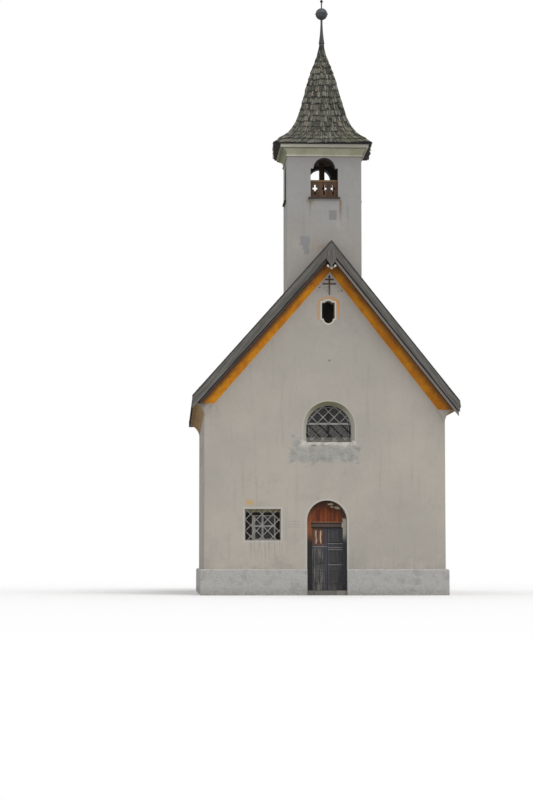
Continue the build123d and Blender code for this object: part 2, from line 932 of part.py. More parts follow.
def windows():
    y0 = front_y + sash_setback
    middle_x = (window_left + window_right) / 2
    outline = rectangle(window_left, window_right, window_sill, window_top)
    casement = (window_left + window_casement["left"], window_right - window_casement["right"])
    inside = rectangle(*casement, window_sill + sash_width, window_top - window_casement["head"])
    split = window_sill + (window_top - window_sill) * window_split
    front = along_y(sash(outline, inside, [middle_x], [split]), y0, y0 + sash_depth)
    save("front_window_frame", front)
    glass_y = y0 + sash_depth
    panes = [along_y(outline, glass_y, glass_y + glass_thickness)]
    rim = rectangle(window_left + grille_rim, window_right - grille_rim,
                    window_sill + grille_rim, window_top - grille_rim)
    iron_y = front_y + grille_setback
    centre = (middle_x - window_lattice_left, (window_sill + window_top) / 2 + window_lattice_up)
    save("front_window_grille", along_y(lattice(outline, rim, centre), iron_y, iron_y + grille_thickness))

    outer = lunette_inside(lunette_splay)
    inner = lunette_inside(lunette_splay + lunette_sash_width)
    middle_x = (lunette_left + lunette_right) / 2
    transom = lunette_spring + lunette_transom_rise
    bars = sash(outer, inner, [middle_x], [transom])
    bars += outer & rectangle(lunette_left, lunette_right, lunette_sill, lunette_sill + lunette_bottom_rail)
    lun_y = front_y + lunette_splay_depth + grille_thickness + lunette_sash_gap
    save("lunette_frame", along_y(bars, lun_y, lun_y + sash_depth))
    panes.append(along_y(outer, lun_y + sash_depth, lun_y + sash_depth + glass_thickness))
    centre = (middle_x, transom + sash_width / 2 - grille_diagonal / 2)
    iron = lattice(outer, lunette_inside(lunette_splay + grille_rim, grille_rim), centre)
    iron += curls(lunette_left + lunette_splay, lunette_right - lunette_splay, lunette_sill)
    iron_y = front_y + lunette_splay_depth
    save("lunette_grille", along_y(iron, iron_y, iron_y + grille_thickness))

    frames = []
    grilles = []
    for side in slopes:
        sign = slopes[side][0]
        for y in (-side_window_place, side_window_place):
            arch = (y - side_window_width / 2, y + side_window_width / 2, side_window_sill, side_window_spring)
            frame = sash(arched(*arch), arched(*arch, sash_width), [y], [side_window_spring])
            x = sign * (half_width - sash_setback)
            step = -sign * sash_depth
            frames.append(along_x(frame, min(x, x + step), max(x, x + step)))
            step = -sign * (sash_depth + glass_thickness)
            near = x - sign * sash_depth
            panes.append(along_x(arched(*arch), min(near, x + step), max(near, x + step)))
            centre = (y, (side_window_sill + side_window_spring + side_window_width / 2) / 2)
            iron = lattice(arched(*arch), arched(*arch, grille_rim), centre)
            x = sign * (half_width - grille_setback)
            grilles.append(along_x(iron, min(x, x - sign * grille_thickness), max(x, x - sign * grille_thickness)))
    save("side_window_frames", Compound(children=frames))
    save("side_window_grilles", Compound(children=grilles))
    save("window_glass", Compound(children=panes))


def main():
    os.makedirs("parts", exist_ok=True)
    floors()
    plinths()
    front_walls()
    back_walls()
    save("left_wall", side_wall("left"))
    save("right_wall", side_wall("right"))
    save("tower_arch", cross_arch())
    save("tower_beams", tower_beams())
    tower_walls()
    save("belfry_floor", belfry_floor())
    save("belfry_ceiling", belfry_ceiling())
    save("belfry_balustrades", Compound(children=around_tower(balustrade())))
    save("belfry_sills", Compound(children=around_tower(belfry_sill())))
    save("tower_cornice", tower_cornice())
    save("spire_eaves", spire_eaves())
    save("spire", spire())
    save("spire_mast", spire_mast())
    save("spire_cap", spire_cap())
    save("finial_ball", finial_ball())
    save("finial_cross", finial_cross())
    for side in slopes:
        save(f"roof_{side}", roof_slope(side))
        save(f"rafters_{side}", rafters(side))
        save(f"eave_cornice_{side}", eave_cornice(side))
    save("wall_plates", Compound(children=[wall_plate(side) for side in slopes]))
    save("tie_beams", Compound(children=tie_beams()))
    for end in ("front", "back"):
        save(f"{end}_verge_boards", verge_boards(end == "front"))
        save(f"{end}_gable_cove", gable_cove(end == "front"))
    save("verge_pendant", verge_pendant())
    save("kneelers", kneelers())
    door()
    windows()


main()
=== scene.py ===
# %% [markdown]
# # A small plastered chapel
#
# The chapel has a shingled nave, a tower that stands on its front wall and a bell-cast spire. Its walls,
# roof slabs, doors and ironwork come in finished shape from the frame. This lesson adds what a solid model
# leaves out: the shingles, the boards of the door's arch and the finish of every surface.
#
# The frame is loaded first. Nothing added here may reach outside it.

# %% Load the frame
import bmesh
import bpy
import numpy as np
from functools import reduce
from math import atan2, ceil, cos, hypot, pi, radians, sin
from mathutils import Matrix, Vector


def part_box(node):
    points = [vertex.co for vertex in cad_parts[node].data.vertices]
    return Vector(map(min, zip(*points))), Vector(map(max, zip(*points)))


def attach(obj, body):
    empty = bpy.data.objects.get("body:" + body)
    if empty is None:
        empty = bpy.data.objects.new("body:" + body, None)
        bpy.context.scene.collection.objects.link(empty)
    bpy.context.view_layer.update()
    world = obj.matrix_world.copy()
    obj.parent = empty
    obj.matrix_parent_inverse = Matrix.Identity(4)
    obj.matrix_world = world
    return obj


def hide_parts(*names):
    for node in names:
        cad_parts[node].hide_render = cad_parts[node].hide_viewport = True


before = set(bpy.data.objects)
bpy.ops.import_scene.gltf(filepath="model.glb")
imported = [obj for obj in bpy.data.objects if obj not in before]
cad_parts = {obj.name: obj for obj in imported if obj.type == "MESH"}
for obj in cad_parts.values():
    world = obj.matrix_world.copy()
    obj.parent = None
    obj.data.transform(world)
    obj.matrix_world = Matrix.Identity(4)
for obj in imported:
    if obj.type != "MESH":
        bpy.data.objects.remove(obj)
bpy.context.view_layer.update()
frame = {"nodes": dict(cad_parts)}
nodes = frame["nodes"]

# %% [markdown]
# ## Camera
#
# The photographer stood far away, nearly at ground level, and looked a little up. A long lens from that
# distance keeps the walls upright, and a short lens from nearby would make the spire lean back. The place
# and the angles were worked out from corners of the walls, the eaves and the tower.

# %% Camera
def placed(name, data):
    """A new object of the scene, made of some data."""
    made = bpy.data.objects.new(name, data)
    bpy.context.scene.collection.objects.link(made)
    return made


camera_data = bpy.data.cameras.new("camera")
camera_data.lens = 99.72
camera_data.sensor_width = 36
camera_data.clip_end = 2000
camera = placed("camera", camera_data)
camera.location = (-4.866, -76.147, 1.025)
degrees_up, degrees_right = 4.203, 2.459
camera.rotation_euler = (radians(90 + degrees_up), 0, radians(-degrees_right))
bpy.context.scene.camera = camera
bpy.context.scene.view_settings.view_transform = "Standard"
print("camera at", tuple(camera.location), "lens", camera_data.lens)

# %% [markdown]
# ## Shader maths
#
# A finish is easier to read as a formula than as a web of nodes. A `Signal` is one socket, and its operators
# add the Math nodes that an expression needs. `fade` makes a mask that is 0 at one value and 1 at another,
# and `band` one that is 1 between two values. `Nodes.make` adds any other node: its settings are made first,
# because they decide which sockets it has.

# %% Signals
class Signal:
    """One output socket that can be used in a sum."""

    def __init__(self, nodes, socket):
        self.nodes = nodes
        self.socket = socket

    def worked(self, operation, *values):
        return self.nodes.make("Math", {"operation": operation}, dict(enumerate(values)))

    def __add__(self, other):
        return self.worked("ADD", self, other)

    def __sub__(self, other):
        return self.worked("SUBTRACT", self, other)

    def __rsub__(self, other):
        return self.worked("SUBTRACT", other, self)

    def __mul__(self, other):
        return self.worked("MULTIPLY", self, other)

    def __truediv__(self, other):
        return self.worked("DIVIDE", self, other)

    def __abs__(self):
        return self.worked("ABSOLUTE", self)

    def highest(self, other):
        return self.worked("MAXIMUM", self, other)

    def lowest(self, other):
        return self.worked("MINIMUM", self, other)

    def root(self):
        return self.worked("SQRT", self)

    def fade(self, low, high):
        """0 at low and 1 at high, with a soft change between."""
        settings = {"interpolation_type": "SMOOTHSTEP"}
        return self.nodes.make("MapRange", settings, {"Value": self, "From Min": low, "From Max": high})

    def band(self, low, high, soft):
        """1 between low and high, and 0 beyond them."""
        return self.fade(low - soft, low + soft) * self.fade(high + soft, high - soft)

    __radd__ = __add__
    __rmul__ = __mul__


def strongest(masks):
    """One mask that is as strong everywhere as the strongest of some."""
    return reduce(Signal.highest, masks)

# %% Node trees
class Nodes:
    """A node tree to which nodes are added by name."""

    def __init__(self, tree):
        self.tree = tree

    def make(self, kind, settings=None, inputs=None, output=0):
        node = self.tree.nodes.new("ShaderNode" + kind)
        for name, value in (settings or {}).items():
            setattr(node, name, value)
        sockets = [socket for socket in node.inputs if socket.enabled]
        for key, value in (inputs or {}).items():
            socket = sockets[key] if isinstance(key, int) else next(s for s in sockets if s.name == key)
            self.plug(value, socket)
        outputs = [socket for socket in node.outputs if socket.enabled]
        chosen = outputs[output] if isinstance(output, int) else next(s for s in outputs if s.name == output)
        return Signal(self, chosen)

    def plug(self, value, socket):
        if isinstance(value, Signal):
            self.tree.links.new(value.socket, socket)
        else:
            socket.default_value = value

print("signals and node trees ready")

# %% [markdown]
# A finish reads Object coordinates, which are metres from the middle of the nave here. So a patch on the
# wall is placed by its real distance from the axis and its height, and a noise scale of 10 gives marks of
# about 10 cm.
#
# Every finish has a coat. `undercoat` starts it as a mix of two tones, `brush` lays one more colour over it
# where a mask is 1, `dim` makes it lighter or darker, and `surface` links it to the shader in the end.

# %% Finishes
def tint(red, green, blue):
    """A colour written from 0 to 255 as a screen shows it, turned into light."""
    shares = [value / 255 for value in (red, green, blue)]
    return tuple(s / 12.92 if s <= 0.04045 else ((s + 0.055) / 1.055) ** 2.4 for s in shares) + (1.0,)


class Finish(Nodes):
    """A material with one Principled shader and the patterns that this chapel needs."""

    def __init__(self, name, **settings):
        self.material = bpy.data.materials.new(name)
        self.material.use_nodes = True
        super().__init__(self.material.node_tree)
        self.shader = self.tree.nodes["Principled BSDF"]
        for socket, value in settings.items():
            self.shader.inputs[socket.replace("_", " ")].default_value = value
        self.place = self.make("TexCoord", output="Object")
        self.x = self.make("SeparateXYZ", {}, {0: self.place}, "X")
        self.y = self.make("SeparateXYZ", {}, {0: self.place}, "Y")
        self.z = self.make("SeparateXYZ", {}, {0: self.place}, "Z")

    def join(self, x, y, z):
        return self.make("CombineXYZ", {}, {0: x, 1: y, 2: z})

    def noise(self, scale, stretch=(1, 1, 1), detail=4, place=None, shift=0.0, rough=0.6):
        moved = {"Vector": place or self.place, "Location": (shift, shift, shift), "Scale": stretch}
        settings = {"Vector": self.make("Mapping", {}, moved), "Scale": scale, "Detail": detail}
        return self.make("TexNoise", {}, settings | {"Roughness": rough})

    def cells(self, scale, stretch=(1, 1, 1), feature="F1", place=None):
        spot = self.make("Mapping", {}, {"Vector": place or self.place, "Scale": stretch})
        return self.make("TexVoronoi", {"feature": feature}, {"Vector": spot, "Scale": scale}, "Distance")

    def paint(self, mask, under, over):
        """The colour over laid on the colour under where the mask is 1."""
        return self.make("Mix", {"data_type": "RGBA"}, {"Factor": mask, "A": under, "B": over})

    def undercoat(self, mask, under, over):
        """Starts the coat as a mix of two colours."""
        self.coat = self.paint(mask, tint(*under), tint(*over))

    def brush(self, mask, *colour):
        """Paints a colour over the coat so far, where the mask is 1."""
        self.coat = self.paint(mask, self.coat, tint(*colour) if len(colour) == 3 else colour[0])

    def dim(self, amount):
        """Makes the coat lighter or darker."""
        self.coat = self.shade(self.coat, amount)

    def shade(self, colour, amount):
        """A colour made lighter or darker."""
        if isinstance(colour, Signal):
            return self.make("VectorMath", {"operation": "SCALE"}, {0: colour, "Scale": amount})
        return tuple(share * amount for share in colour[:3]) + (1.0,)

    def square_off(self, x, z, half_x, half_z):
        """How far a point lies outside a rectangle that is centred at the origin."""
        return (abs(x) - half_x).highest(abs(z) - half_z)

    def arch_off(self, x, z, half, spring):
        """How far a point lies outside a round-headed opening."""
        rise = (z - spring).highest(0.0)
        return (x * x + rise * rise).root() - half

    def blots(self, centre_x, top, shapes):
        """Worn light spots: each is given by its distances from a middle and a top, and its half sizes."""
        rough = (self.noise(12, detail=5, shift=27) - 0.5) * 1.6
        places = [((self.x - centre_x - aside) / wide, (self.z - top + down) / high)
                  for aside, down, wide, high in shapes]
        return strongest(((u * u + v * v).root() + rough).fade(1.1, 0.7) for u, v in places)

    def surface(self, roughness, height, depth):
        """Links the coat, its roughness and its relief to the shader."""
        bump = self.make("Bump", {}, {"Height": height, "Distance": depth})
        for name, value in (("Base Color", self.coat), ("Roughness", roughness), ("Normal", bump)):
            self.plug(value, self.shader.inputs[name])

# %% Dressing a node
def dress(material, *names):
    for name in names:
        for slot in nodes[name].material_slots:
            slot.material = material
    print(material.name, "on", len(names), "nodes")

# %% [markdown]
# ## Lime plaster
#
# The walls are brick under lime plaster that was painted a warm grey long ago. Rain has washed it in
# upright streaks, mortar repairs show as darker patches, and rust runs down from iron in the tower. All of
# this is one material for every plastered wall. Its marks are masks in real coordinates, because a mark
# painted at random would never fall under the window that it belongs to.

# %% Plaster: the washed wall
lime = Finish("lime_plaster", Roughness=0.92)
front_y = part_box("front_gable")[0].y
tower_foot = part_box("tower_front_wall")[0].z
on_front = lime.y.fade(front_y + 0.02, front_y + 0.004)
on_tower = lime.z.fade(tower_foot + 0.1, tower_foot + 0.5)

broad = lime.noise(0.32, detail=3)
cloudy = lime.noise(1.3, detail=6, shift=7)
mottled = lime.noise(6, detail=8, shift=3, rough=0.7)
grain = lime.noise(70, detail=3)
runs = lime.noise(1.0, stretch=(7, 7, 0.45), detail=6, shift=2)
fine_runs = lime.noise(1.0, stretch=(26, 26, 1.1), detail=4, shift=5)

lime.undercoat(broad.fade(0.36, 0.64), (181, 174, 164), (172, 166, 157))
greyer_from, greyer_to = 4.5, 9.0
lime.brush(lime.z.fade(greyer_from, greyer_to) * 0.8, 163, 158, 150)
lime.brush(on_tower * 0.85, 157, 153, 148)
lime.brush(lime.z.fade(tower_foot + 1.5, tower_foot + 3.2) * 0.7, 150, 150, 149)
lime.brush(cloudy.fade(0.5, 0.74) * 0.25, 186, 180, 171)
lime.brush(cloudy.fade(0.46, 0.28) * 0.22, 144, 141, 136)
lime.brush(runs.fade(0.53, 0.74) * 0.3, 138, 135, 131)
lime.brush(fine_runs.fade(0.55, 0.75) * 0.18, 188, 183, 176)
# Painted shade: the left side wall is dimmed, because it faces away from the sun.
left_corner = -3.83
on_left = lime.x.fade(left_corner + 0.03, left_corner)
lime.dim((mottled * 0.16 + 0.92) * (1 - on_left * 0.16))
print("washed wall ready")

# %% [markdown]
# The marks round the door, the lunette and the square window follow their frames. The frames are measured
# here, so that no mark has to be placed by hand.

# %% Openings of the front wall
door_low, door_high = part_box("door_frame")
door_middle = (door_low.x + door_high.x) / 2
door_half = (door_high.x - door_low.x) / 2
door_spring = door_high.z - door_half
splay = 0.1
lunette_low, lunette_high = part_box("lunette_frame")
lunette_middle = (lunette_low.x + lunette_high.x) / 2
lunette_half = (lunette_high.x - lunette_low.x) / 2 + splay
lunette_foot = lunette_low.z
lunette_spring = lunette_high.z + splay - lunette_half
window_low, window_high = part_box("front_window_frame")
window_middle = (window_low + window_high) / 2
window_half = (window_high - window_low) / 2
print("door", round(door_half, 3), "window", window_middle, "lunette", round(lunette_middle, 3))

# %% [markdown]
# The openings have paler edges where newer plaster was dressed round them. They could be painted as frames,
# but the distance from an opening's outline gives such an edge its even width also round an arch, and noise
# added to the distance makes it ragged.

# %% Plaster: pale edges
ragged = (mottled - 0.5) * 0.09
round_door = lime.arch_off(lime.x - door_middle, lime.z, door_half, door_spring)
round_lunette = lime.arch_off(lime.x - lunette_middle, lime.z, lunette_half, lunette_spring)
round_window = lime.square_off(
    lime.x - window_middle.x, lime.z - window_middle.z, window_half.x + 0.01, window_half.z + 0.01)
for off, width in ((round_door, 0.05), (round_window, 0.04)):
    edge = (off + ragged).fade(width + 0.03, width - 0.02) * on_front
    lime.brush(edge * 0.6, 196, 191, 184)
above_sill = lime.z.fade(lunette_foot, lunette_foot + 0.02)
edge = (round_lunette + ragged * 0.5).fade(0.05, 0.02) * above_sill * on_front
lime.brush(edge * 0.6, 192, 187, 174)
print("edges laid round the openings")

# %% [markdown]
# Inside the openings the plaster looks different: pale in the lunette's reveal and greenish at its crown.
# Painted shade darkens the head of the square window's reveal, the reveal beside the door and the walls of
# the belfry. The depth into the wall tells these faces from the outer one.

# %% Plaster: reveals and belfry
wall_depth = 0.59
within = lime.y.fade(front_y + 0.004, front_y + 0.02)
within *= lime.y.fade(front_y + wall_depth, front_y + wall_depth - 0.04)
arch_reveal = within * round_lunette.fade(0.02, 0.0)
arch_reveal *= lime.z.fade(lunette_foot - 0.1, lunette_foot)
lime.brush(arch_reveal * 0.8, 194, 193, 180)
lime.brush(arch_reveal * lime.z.fade(lunette_spring + 0.3, lunette_spring + 0.75), 146, 145, 116)
# Painted shade under the head of the square window's reveal.
lintel_shade = within * abs(lime.x - window_middle.x).fade(window_half.x + 0.05, window_half.x)
lintel_shade *= lime.z.band(window_high.z - 0.05, window_high.z + 0.05, 0.02)
lime.brush(lintel_shade, 120, 117, 98)
# Painted shade in the reveal beside the door, bluish and strongest towards its foot.
jamb_shade = within * abs(lime.x - door_middle).fade(door_half + 0.1, door_half + 0.02)
jamb_foot = 1.1
jamb_shade *= lime.z.fade(door_spring + 0.3, jamb_foot)
lime.brush(jamb_shade, 66, 68, 74)
tower_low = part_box("tower_left_wall")[0]
tower_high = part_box("tower_back_wall")[1]
tower_y = (front_y + tower_high.y) / 2
tower_half = tower_high.y - tower_y
# Painted shade on the walls inside the belfry.
deep = abs(lime.x).highest(abs(lime.y - tower_y))
belfry_shade = deep.fade(tower_half - 0.004, tower_half - 0.03)
belfry_shade *= lime.z.fade(tower_foot + 1.0, tower_foot + 1.1)
lime.brush(belfry_shade * 0.85, 66, 64, 61)
print("tower middle", round(tower_y, 3), "half its width", round(tower_half, 3))

# %% [markdown]
# Mortar repairs sit high on the tower: a squarish one and a ragged one. Each is a rectangle whose sides are
# pushed about by noise. Small marks of the same kind are given as rows of measures in metres.

# %% Plaster: repairs on the tower
wobble_x = (lime.noise(5, detail=5, shift=11) - 0.5) * 0.5
wobble_z = (lime.noise(5, detail=5, shift=17) - 0.5) * 0.5


def patch(left, right, low, high, wander, soft=0.02):
    across = lime.x - (left + right) / 2 + wobble_x * wander
    upwards = lime.z - (low + high) / 2 + wobble_z * wander
    off = lime.square_off(across, upwards, (right - left) / 2, (high - low) / 2)
    return off.fade(soft, -soft) * on_front


def marks(*rows):
    """Patches: each has its four sides, how far they wander, how soft they are, a strength and a colour."""
    for left, right, low, high, wander, soft, strength, colour in rows:
        lime.brush(patch(left, right, low, high, wander, soft) * strength, *colour)


marks((0.15, 0.39, 11.97, 12.28, 0.1, 0.02, 0.85, (128, 128, 128)))
tower_repair = patch(-0.80, -0.475, 11.15, 11.43, 0.5).highest(patch(-0.68, -0.50, 10.87, 11.2, 0.6))
lime.brush(tower_repair * 0.7, 130, 131, 134)
dirty = patch(-0.45, 0.12, 10.9, 11.3, 1.4, 0.15) * mottled.fade(0.4, 0.6)
lime.brush(dirty * 0.4, 150, 130, 108)
print("tower repairs ready")

# %% [markdown]
# Under the lunette a wide strip was smeared with grey mortar and has gone blotchy. Its outline is two
# rectangles, and coarse noise is added to the distance from them, so that its edge breaks up into islands. A
# crumbling pale ledge and a dark sill line close it at the top.

# %% Plaster: smeared strip under the lunette
smudge = lime.noise(1.0, stretch=(4, 4, 5), detail=8, shift=19, rough=0.72)
spread = lime.square_off(lime.x + 0.03, lime.z - 4.46, 1.12, 0.28)
spread = spread.lowest(lime.square_off(lime.x + 0.9, lime.z - 4.72, 0.16, 0.34))
spread = (spread + (smudge - 0.5) * 0.8 + wobble_z * 0.9).fade(0.05, -0.16) * on_front
lime.brush(spread * 0.6, 172, 171, 167)
lime.brush(spread * smudge.fade(0.66, 0.3) * 0.72, 124, 127, 123)
ledge = patch(-0.80, 1.0, lunette_foot - 0.16, lunette_foot + 0.01, 0.6, 0.045)
lime.brush(ledge * (smudge.fade(0.42, 0.54) * 0.75 + 0.12), 204, 199, 193)
frame_half = lunette_half - splay
sill_line = abs(lime.x - lunette_middle).fade(frame_half + 0.01, frame_half - 0.01)
wavy = lime.z + wobble_z * 0.05
sill_line = sill_line * wavy.fade(lunette_foot - 0.055, lunette_foot - 0.04) * on_front
sill_line *= lime.z.fade(lunette_foot + 0.03, lunette_foot + 0.01)
lime.brush(sill_line * (mottled.fade(0.35, 0.6) * 0.3 + 0.7), 78, 73, 68)
print("strip ready, half the lunette's frame", round(frame_half, 3))

# %% [markdown]
# A few small marks were measured on the wall: dashes under the sill line, an ochre trace over the square
# window, thin lines beside the door, a nick above it, and a dark spot between the lunette and the oculus.

# %% Plaster: small marks
marks((-0.41, -0.27, 4.728, 4.752, 0.25, 0.012, 0.8, (80, 79, 76)),
      (-0.04, 0.15, 4.728, 4.752, 0.25, 0.012, 0.8, (80, 79, 76)),
      (-0.9, -0.2, 2.98, 3.2, 1.1, 0.1, 0.2, (154, 151, 147)),
      (-2.48, -2.27, 2.86, 3.0, 0.5, 0.07, 0.85, (194, 158, 98)))
for drop in (0.665, 0.765, 0.85):
    line_z = door_high.z - drop
    line = patch(door_middle - 1.22, door_middle - 0.86, line_z - 0.012, line_z + 0.012, 0.1)
    lime.brush(line * 0.45, 138, 137, 132)
nick = patch(door_middle - 0.30, door_middle - 0.28, door_high.z + 0.04, door_high.z + 0.11, 0.1)
lime.brush(nick * 0.6, 116, 112, 106)
marks((0.13, 0.18, 7.42, 7.48, 0.1, 0.02, 0.7, (92, 86, 78)))
print("small marks ready")

# %% [markdown]
# Rust runs down from the iron of the belfry's sill. Such a stain is narrow, and its strength follows from its
# height, so it needs no picture.

# %% Plaster: rust
def rust(place, low, high, width):
    """A stain that starts sharp at the top and fades as it runs down."""
    thin = abs(lime.x - place + wobble_x * 0.12).fade(width, 0.0)
    fall = lime.z.fade(low, high) * lime.z.fade(high + 0.03, high)
    return thin * fall * on_front


lime.brush(rust(0.515, 11.70, 12.60, 0.06) * 0.85, 120, 92, 56)
lime.brush(rust(-0.46, 12.0, 12.64, 0.07) * 0.7, 126, 112, 92)
marks((-0.58, -0.32, 12.48, 12.61, 0.9, 0.05, 0.5, (122, 116, 92)))
lime.brush(rust(0.75, 11.2, 12.4, 0.05) * 0.3, 118, 112, 104)
print("rust ready")

# %% [markdown]
# Water splashes up from the plinth and drips from the window's sill. Both are upright streaks from before,
# kept to their heights.

# %% Plaster: damp and drips
damp_top, damp_foot = 1.75, 0.8
damp = lime.z.fade(damp_top, damp_foot) * lime.noise(2.2, detail=6, shift=23).fade(0.4, 0.62)
lime.brush(damp * 0.35, 142, 138, 130)
drips = fine_runs.fade(0.5, 0.62) * lime.z.fade(window_low.z - 1.0, window_low.z)
drips = drips * lime.z.fade(window_low.z + 0.01, window_low.z) * on_front
drips *= abs(lime.x - window_middle.x).fade(window_half.x + 0.1, window_half.x - 0.05)
lime.brush(drips * 0.45, 126, 121, 113)
print("damp up to", damp_top)

# %% [markdown]
# The oculus has a painted ochre border, which follows the outline of the opening at a fixed distance. That
# outline is a rectangle joined to two circles, so its distance is the lowest of three.

# %% Plaster: painted border
oculus_middle = 0.1215
oculus_top = tower_foot - 0.15
oculus_bottom = oculus_top - 0.52
beside = lime.x - oculus_middle
off = lime.square_off(beside, lime.z - (oculus_top + oculus_bottom) / 2, 0.2065, 0.26)
for lobe in (oculus_top - 0.09, oculus_bottom):
    up = lime.z - lobe
    off = off.lowest((beside * beside + up * up).root() - 0.15)
worn = lime.noise(9, detail=6, shift=31).fade(0.3, 0.56)
sides = abs(beside).band(0.285, 0.36, 0.015) * lime.z.band(oculus_bottom - 0.02, oculus_top, 0.03)
over_top = lime.z - (oculus_top - 0.08)
crown = (beside * beside + over_top * over_top * 1.8).root().band(0.285, 0.37, 0.015)
crown *= over_top.fade(-0.02, 0.04)
strong = beside.fade(-0.1, 0.3) * lime.z.fade(oculus_bottom, oculus_top - 0.1)
border = sides.highest(crown) * on_front * (worn * 0.35 + strong * 0.4 + 0.3)
lime.brush(border, 198, 138, 74)
lime.brush(off.fade(0.05, 0.03) * on_front * 0.8, 216, 206, 188)
print("oculus from", round(oculus_bottom, 3), "to", round(oculus_top, 3))

# %% [markdown]
# A double-barred cross is painted above the oculus, as is common on such chapels. Its bars are three
# rectangles, and the paint has faded towards their foot.

# %% Plaster: painted cross
cross_middle = 0.156
cross_x = lime.x - cross_middle
speckled = cross_x.band(-0.42, 0.45, 0.05) * lime.z.band(9.64, 9.84, 0.04) * on_front
lime.brush(speckled * mottled.fade(0.5, 0.42) * 0.5, 120, 122, 98)
marks((-0.19, -0.13, 9.775, 9.81, 0.1, 0.015, 0.8, (56, 50, 44)),
      (0.53, 0.59, 9.67, 9.705, 0.1, 0.015, 0.8, (56, 50, 44)))
# Each bar of the cross has half a width, half a height and the height of its middle.
bars = ((0.028, 0.315, 9.865), (0.1425, 0.027, 10.05), (0.2175, 0.027, 9.91))
painted = strongest(lime.square_off(cross_x, lime.z - middle, half_wide, half_high).fade(0.008, -0.008)
                    for half_wide, half_high, middle in bars)
cross_foot, cross_top = 9.5, 10.1
faded = lime.z.fade(cross_foot, cross_top) * 0.25 + worn * 0.15 + 0.6
lime.brush(painted * on_front * faded, 62, 40, 34)
print("cross from", cross_foot, "to", cross_top)

# %% [markdown]
# Fine cracks cross the other walls. They are the borders of large cells, whose places are pushed about by
# noise so that no border is straight. The relief adds up what was trowelled, washed out and cracked.

# %% Plaster: cracks and relief
cracks = lime.cells(0.9, feature="DISTANCE_TO_EDGE", place=lime.join(
    lime.x + wobble_x * 1.4, lime.y + wobble_z * 1.4, lime.z + wobble_z * 1.4))
crack = cracks.fade(0.006, 0.001) * lime.noise(0.7, shift=41).fade(0.52, 0.6) * (1 - on_front)
lime.brush(crack * 0.12, 104, 100, 95)
relief = cloudy * 1.5 + mottled * 0.9 + grain * 0.22 - crack * 0.8
lime.surface(mottled * 0.12 + 0.84, relief, 0.006)
plaster_nodes = ["front_wall_left", "front_wall_right", "front_wall_middle", "front_gable", "left_wall",
                 "right_wall", "back_wall", "back_gable", "tower_arch", "tower_front_wall", "tower_left_wall",
                 "tower_right_wall", "tower_back_wall", "kneelers"]
dress(lime.material, *plaster_nodes)

# %% [markdown]
# ## Plinth and cornice
#
# The plinth is rendered in a harder, whiter mix that has worn down to its coarse sand, so it is speckled.

# %% Plinth
base = Finish("plinth_render", Roughness=0.9)
scales = base.noise(2.6, detail=8, rough=0.62)
small = base.noise(11, detail=7, shift=5, rough=0.7)
speck = base.noise(34, detail=4, shift=9, rough=0.7)
base.undercoat(scales.fade(0.36, 0.5), (160, 158, 154), (176, 174, 170))
base.brush(speck.fade(0.56, 0.64) * 0.6, 200, 198, 194)
base.brush(speck.fade(0.42, 0.35) * 0.55, 132, 130, 125)
base.brush(small.fade(0.64, 0.7) * 0.6, 120, 118, 112)
base.brush(base.z.fade(0.35, 0.0) * small.fade(0.3, 0.6) * 0.5, 122, 121, 110)
base_relief = scales.fade(0.5, 0.6) * 0.8 + small * 0.8 + speck * 0.15
base.surface(small * 0.1 + 0.85, base_relief, 0.007)
dress(base.material, "plinth_front", "plinth_left", "plinth_right", "plinth_back")

# %% [markdown]
# The tower's cornice is a plaster moulding that has gone olive with lichen. Painted shadow draws a dark line
# under its flat top band and another at its foot, painted shade darkens the top of the cove and the left
# face, and a painted highlight runs along the bead. These lines lie at fixed distances from the top and the
# foot of the solid, so they stay on its edges.

# %% Tower cornice
mould = Finish("cornice_plaster", Roughness=0.92)
cornice_low, cornice_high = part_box("tower_cornice")
clouds = mould.noise(2.2, detail=6)
drops = mould.noise(1.0, stretch=(16, 16, 1.6), detail=5, shift=3)
moss = mould.noise(9, detail=7, shift=8, rough=0.7)
mould.undercoat(clouds.fade(0.4, 0.62), (198, 197, 178), (180, 180, 155))
mould.brush(drops.fade(0.54, 0.68) * 0.25, 140, 140, 118)
mould.brush(moss.fade(0.58, 0.68) * 0.3, 150, 150, 110)
mould.brush(moss.fade(0.4, 0.3) * 0.4, 212, 209, 196)
fascia = mould.z.fade(cornice_high.z - 0.095, cornice_high.z - 0.085)
mould.brush(fascia * 0.75, 214, 211, 198)
# A painted highlight along the bead.
bead_highlight = mould.z.band(cornice_low.z + 0.025, cornice_low.z + 0.05, 0.006)
mould.brush(bead_highlight * 0.6, 222, 219, 204)
# Painted shadow lines at the foot of the cornice and under its flat top band.
mould.brush(mould.z.fade(cornice_low.z + 0.014, cornice_low.z + 0.004) * 0.7, 86, 84, 72)
mould.brush(mould.z.band(cornice_high.z - 0.125, cornice_high.z - 0.095, 0.008) * 0.7, 62, 60, 54)
# Painted shade over the top of the cove, under the top band.
cove_top_shade = mould.z.band(cornice_high.z - 0.3, cornice_high.z - 0.125, 0.06)
mould.brush(cove_top_shade * 0.35, 122, 126, 98)
# Painted shade on the cornice's left face.
left_face_shade = ((tower_low.x - mould.x) - (front_y - mould.y)).fade(-0.004, 0.004)
left_face_shade *= mould.x.fade(0.0, -0.5)
mould.brush(left_face_shade * 0.65, 112, 112, 76)
mould.dim(moss * 0.24 + 0.88)
mould.surface(0.9, clouds + moss * 0.9, 0.006)
dress(mould.material, "tower_cornice")

# %% [markdown]
# ## Weathered timber
#
# Outdoor timber turns grey and its grain opens in long dark lines. The grain follows each board, so the
# pattern is stretched along a direction that the board gives: up for posts, along the wall for beams, and
# down the slope for rafters and verge boards. `timber` takes three tones, and three functions for the
# distances along, across and through the board.

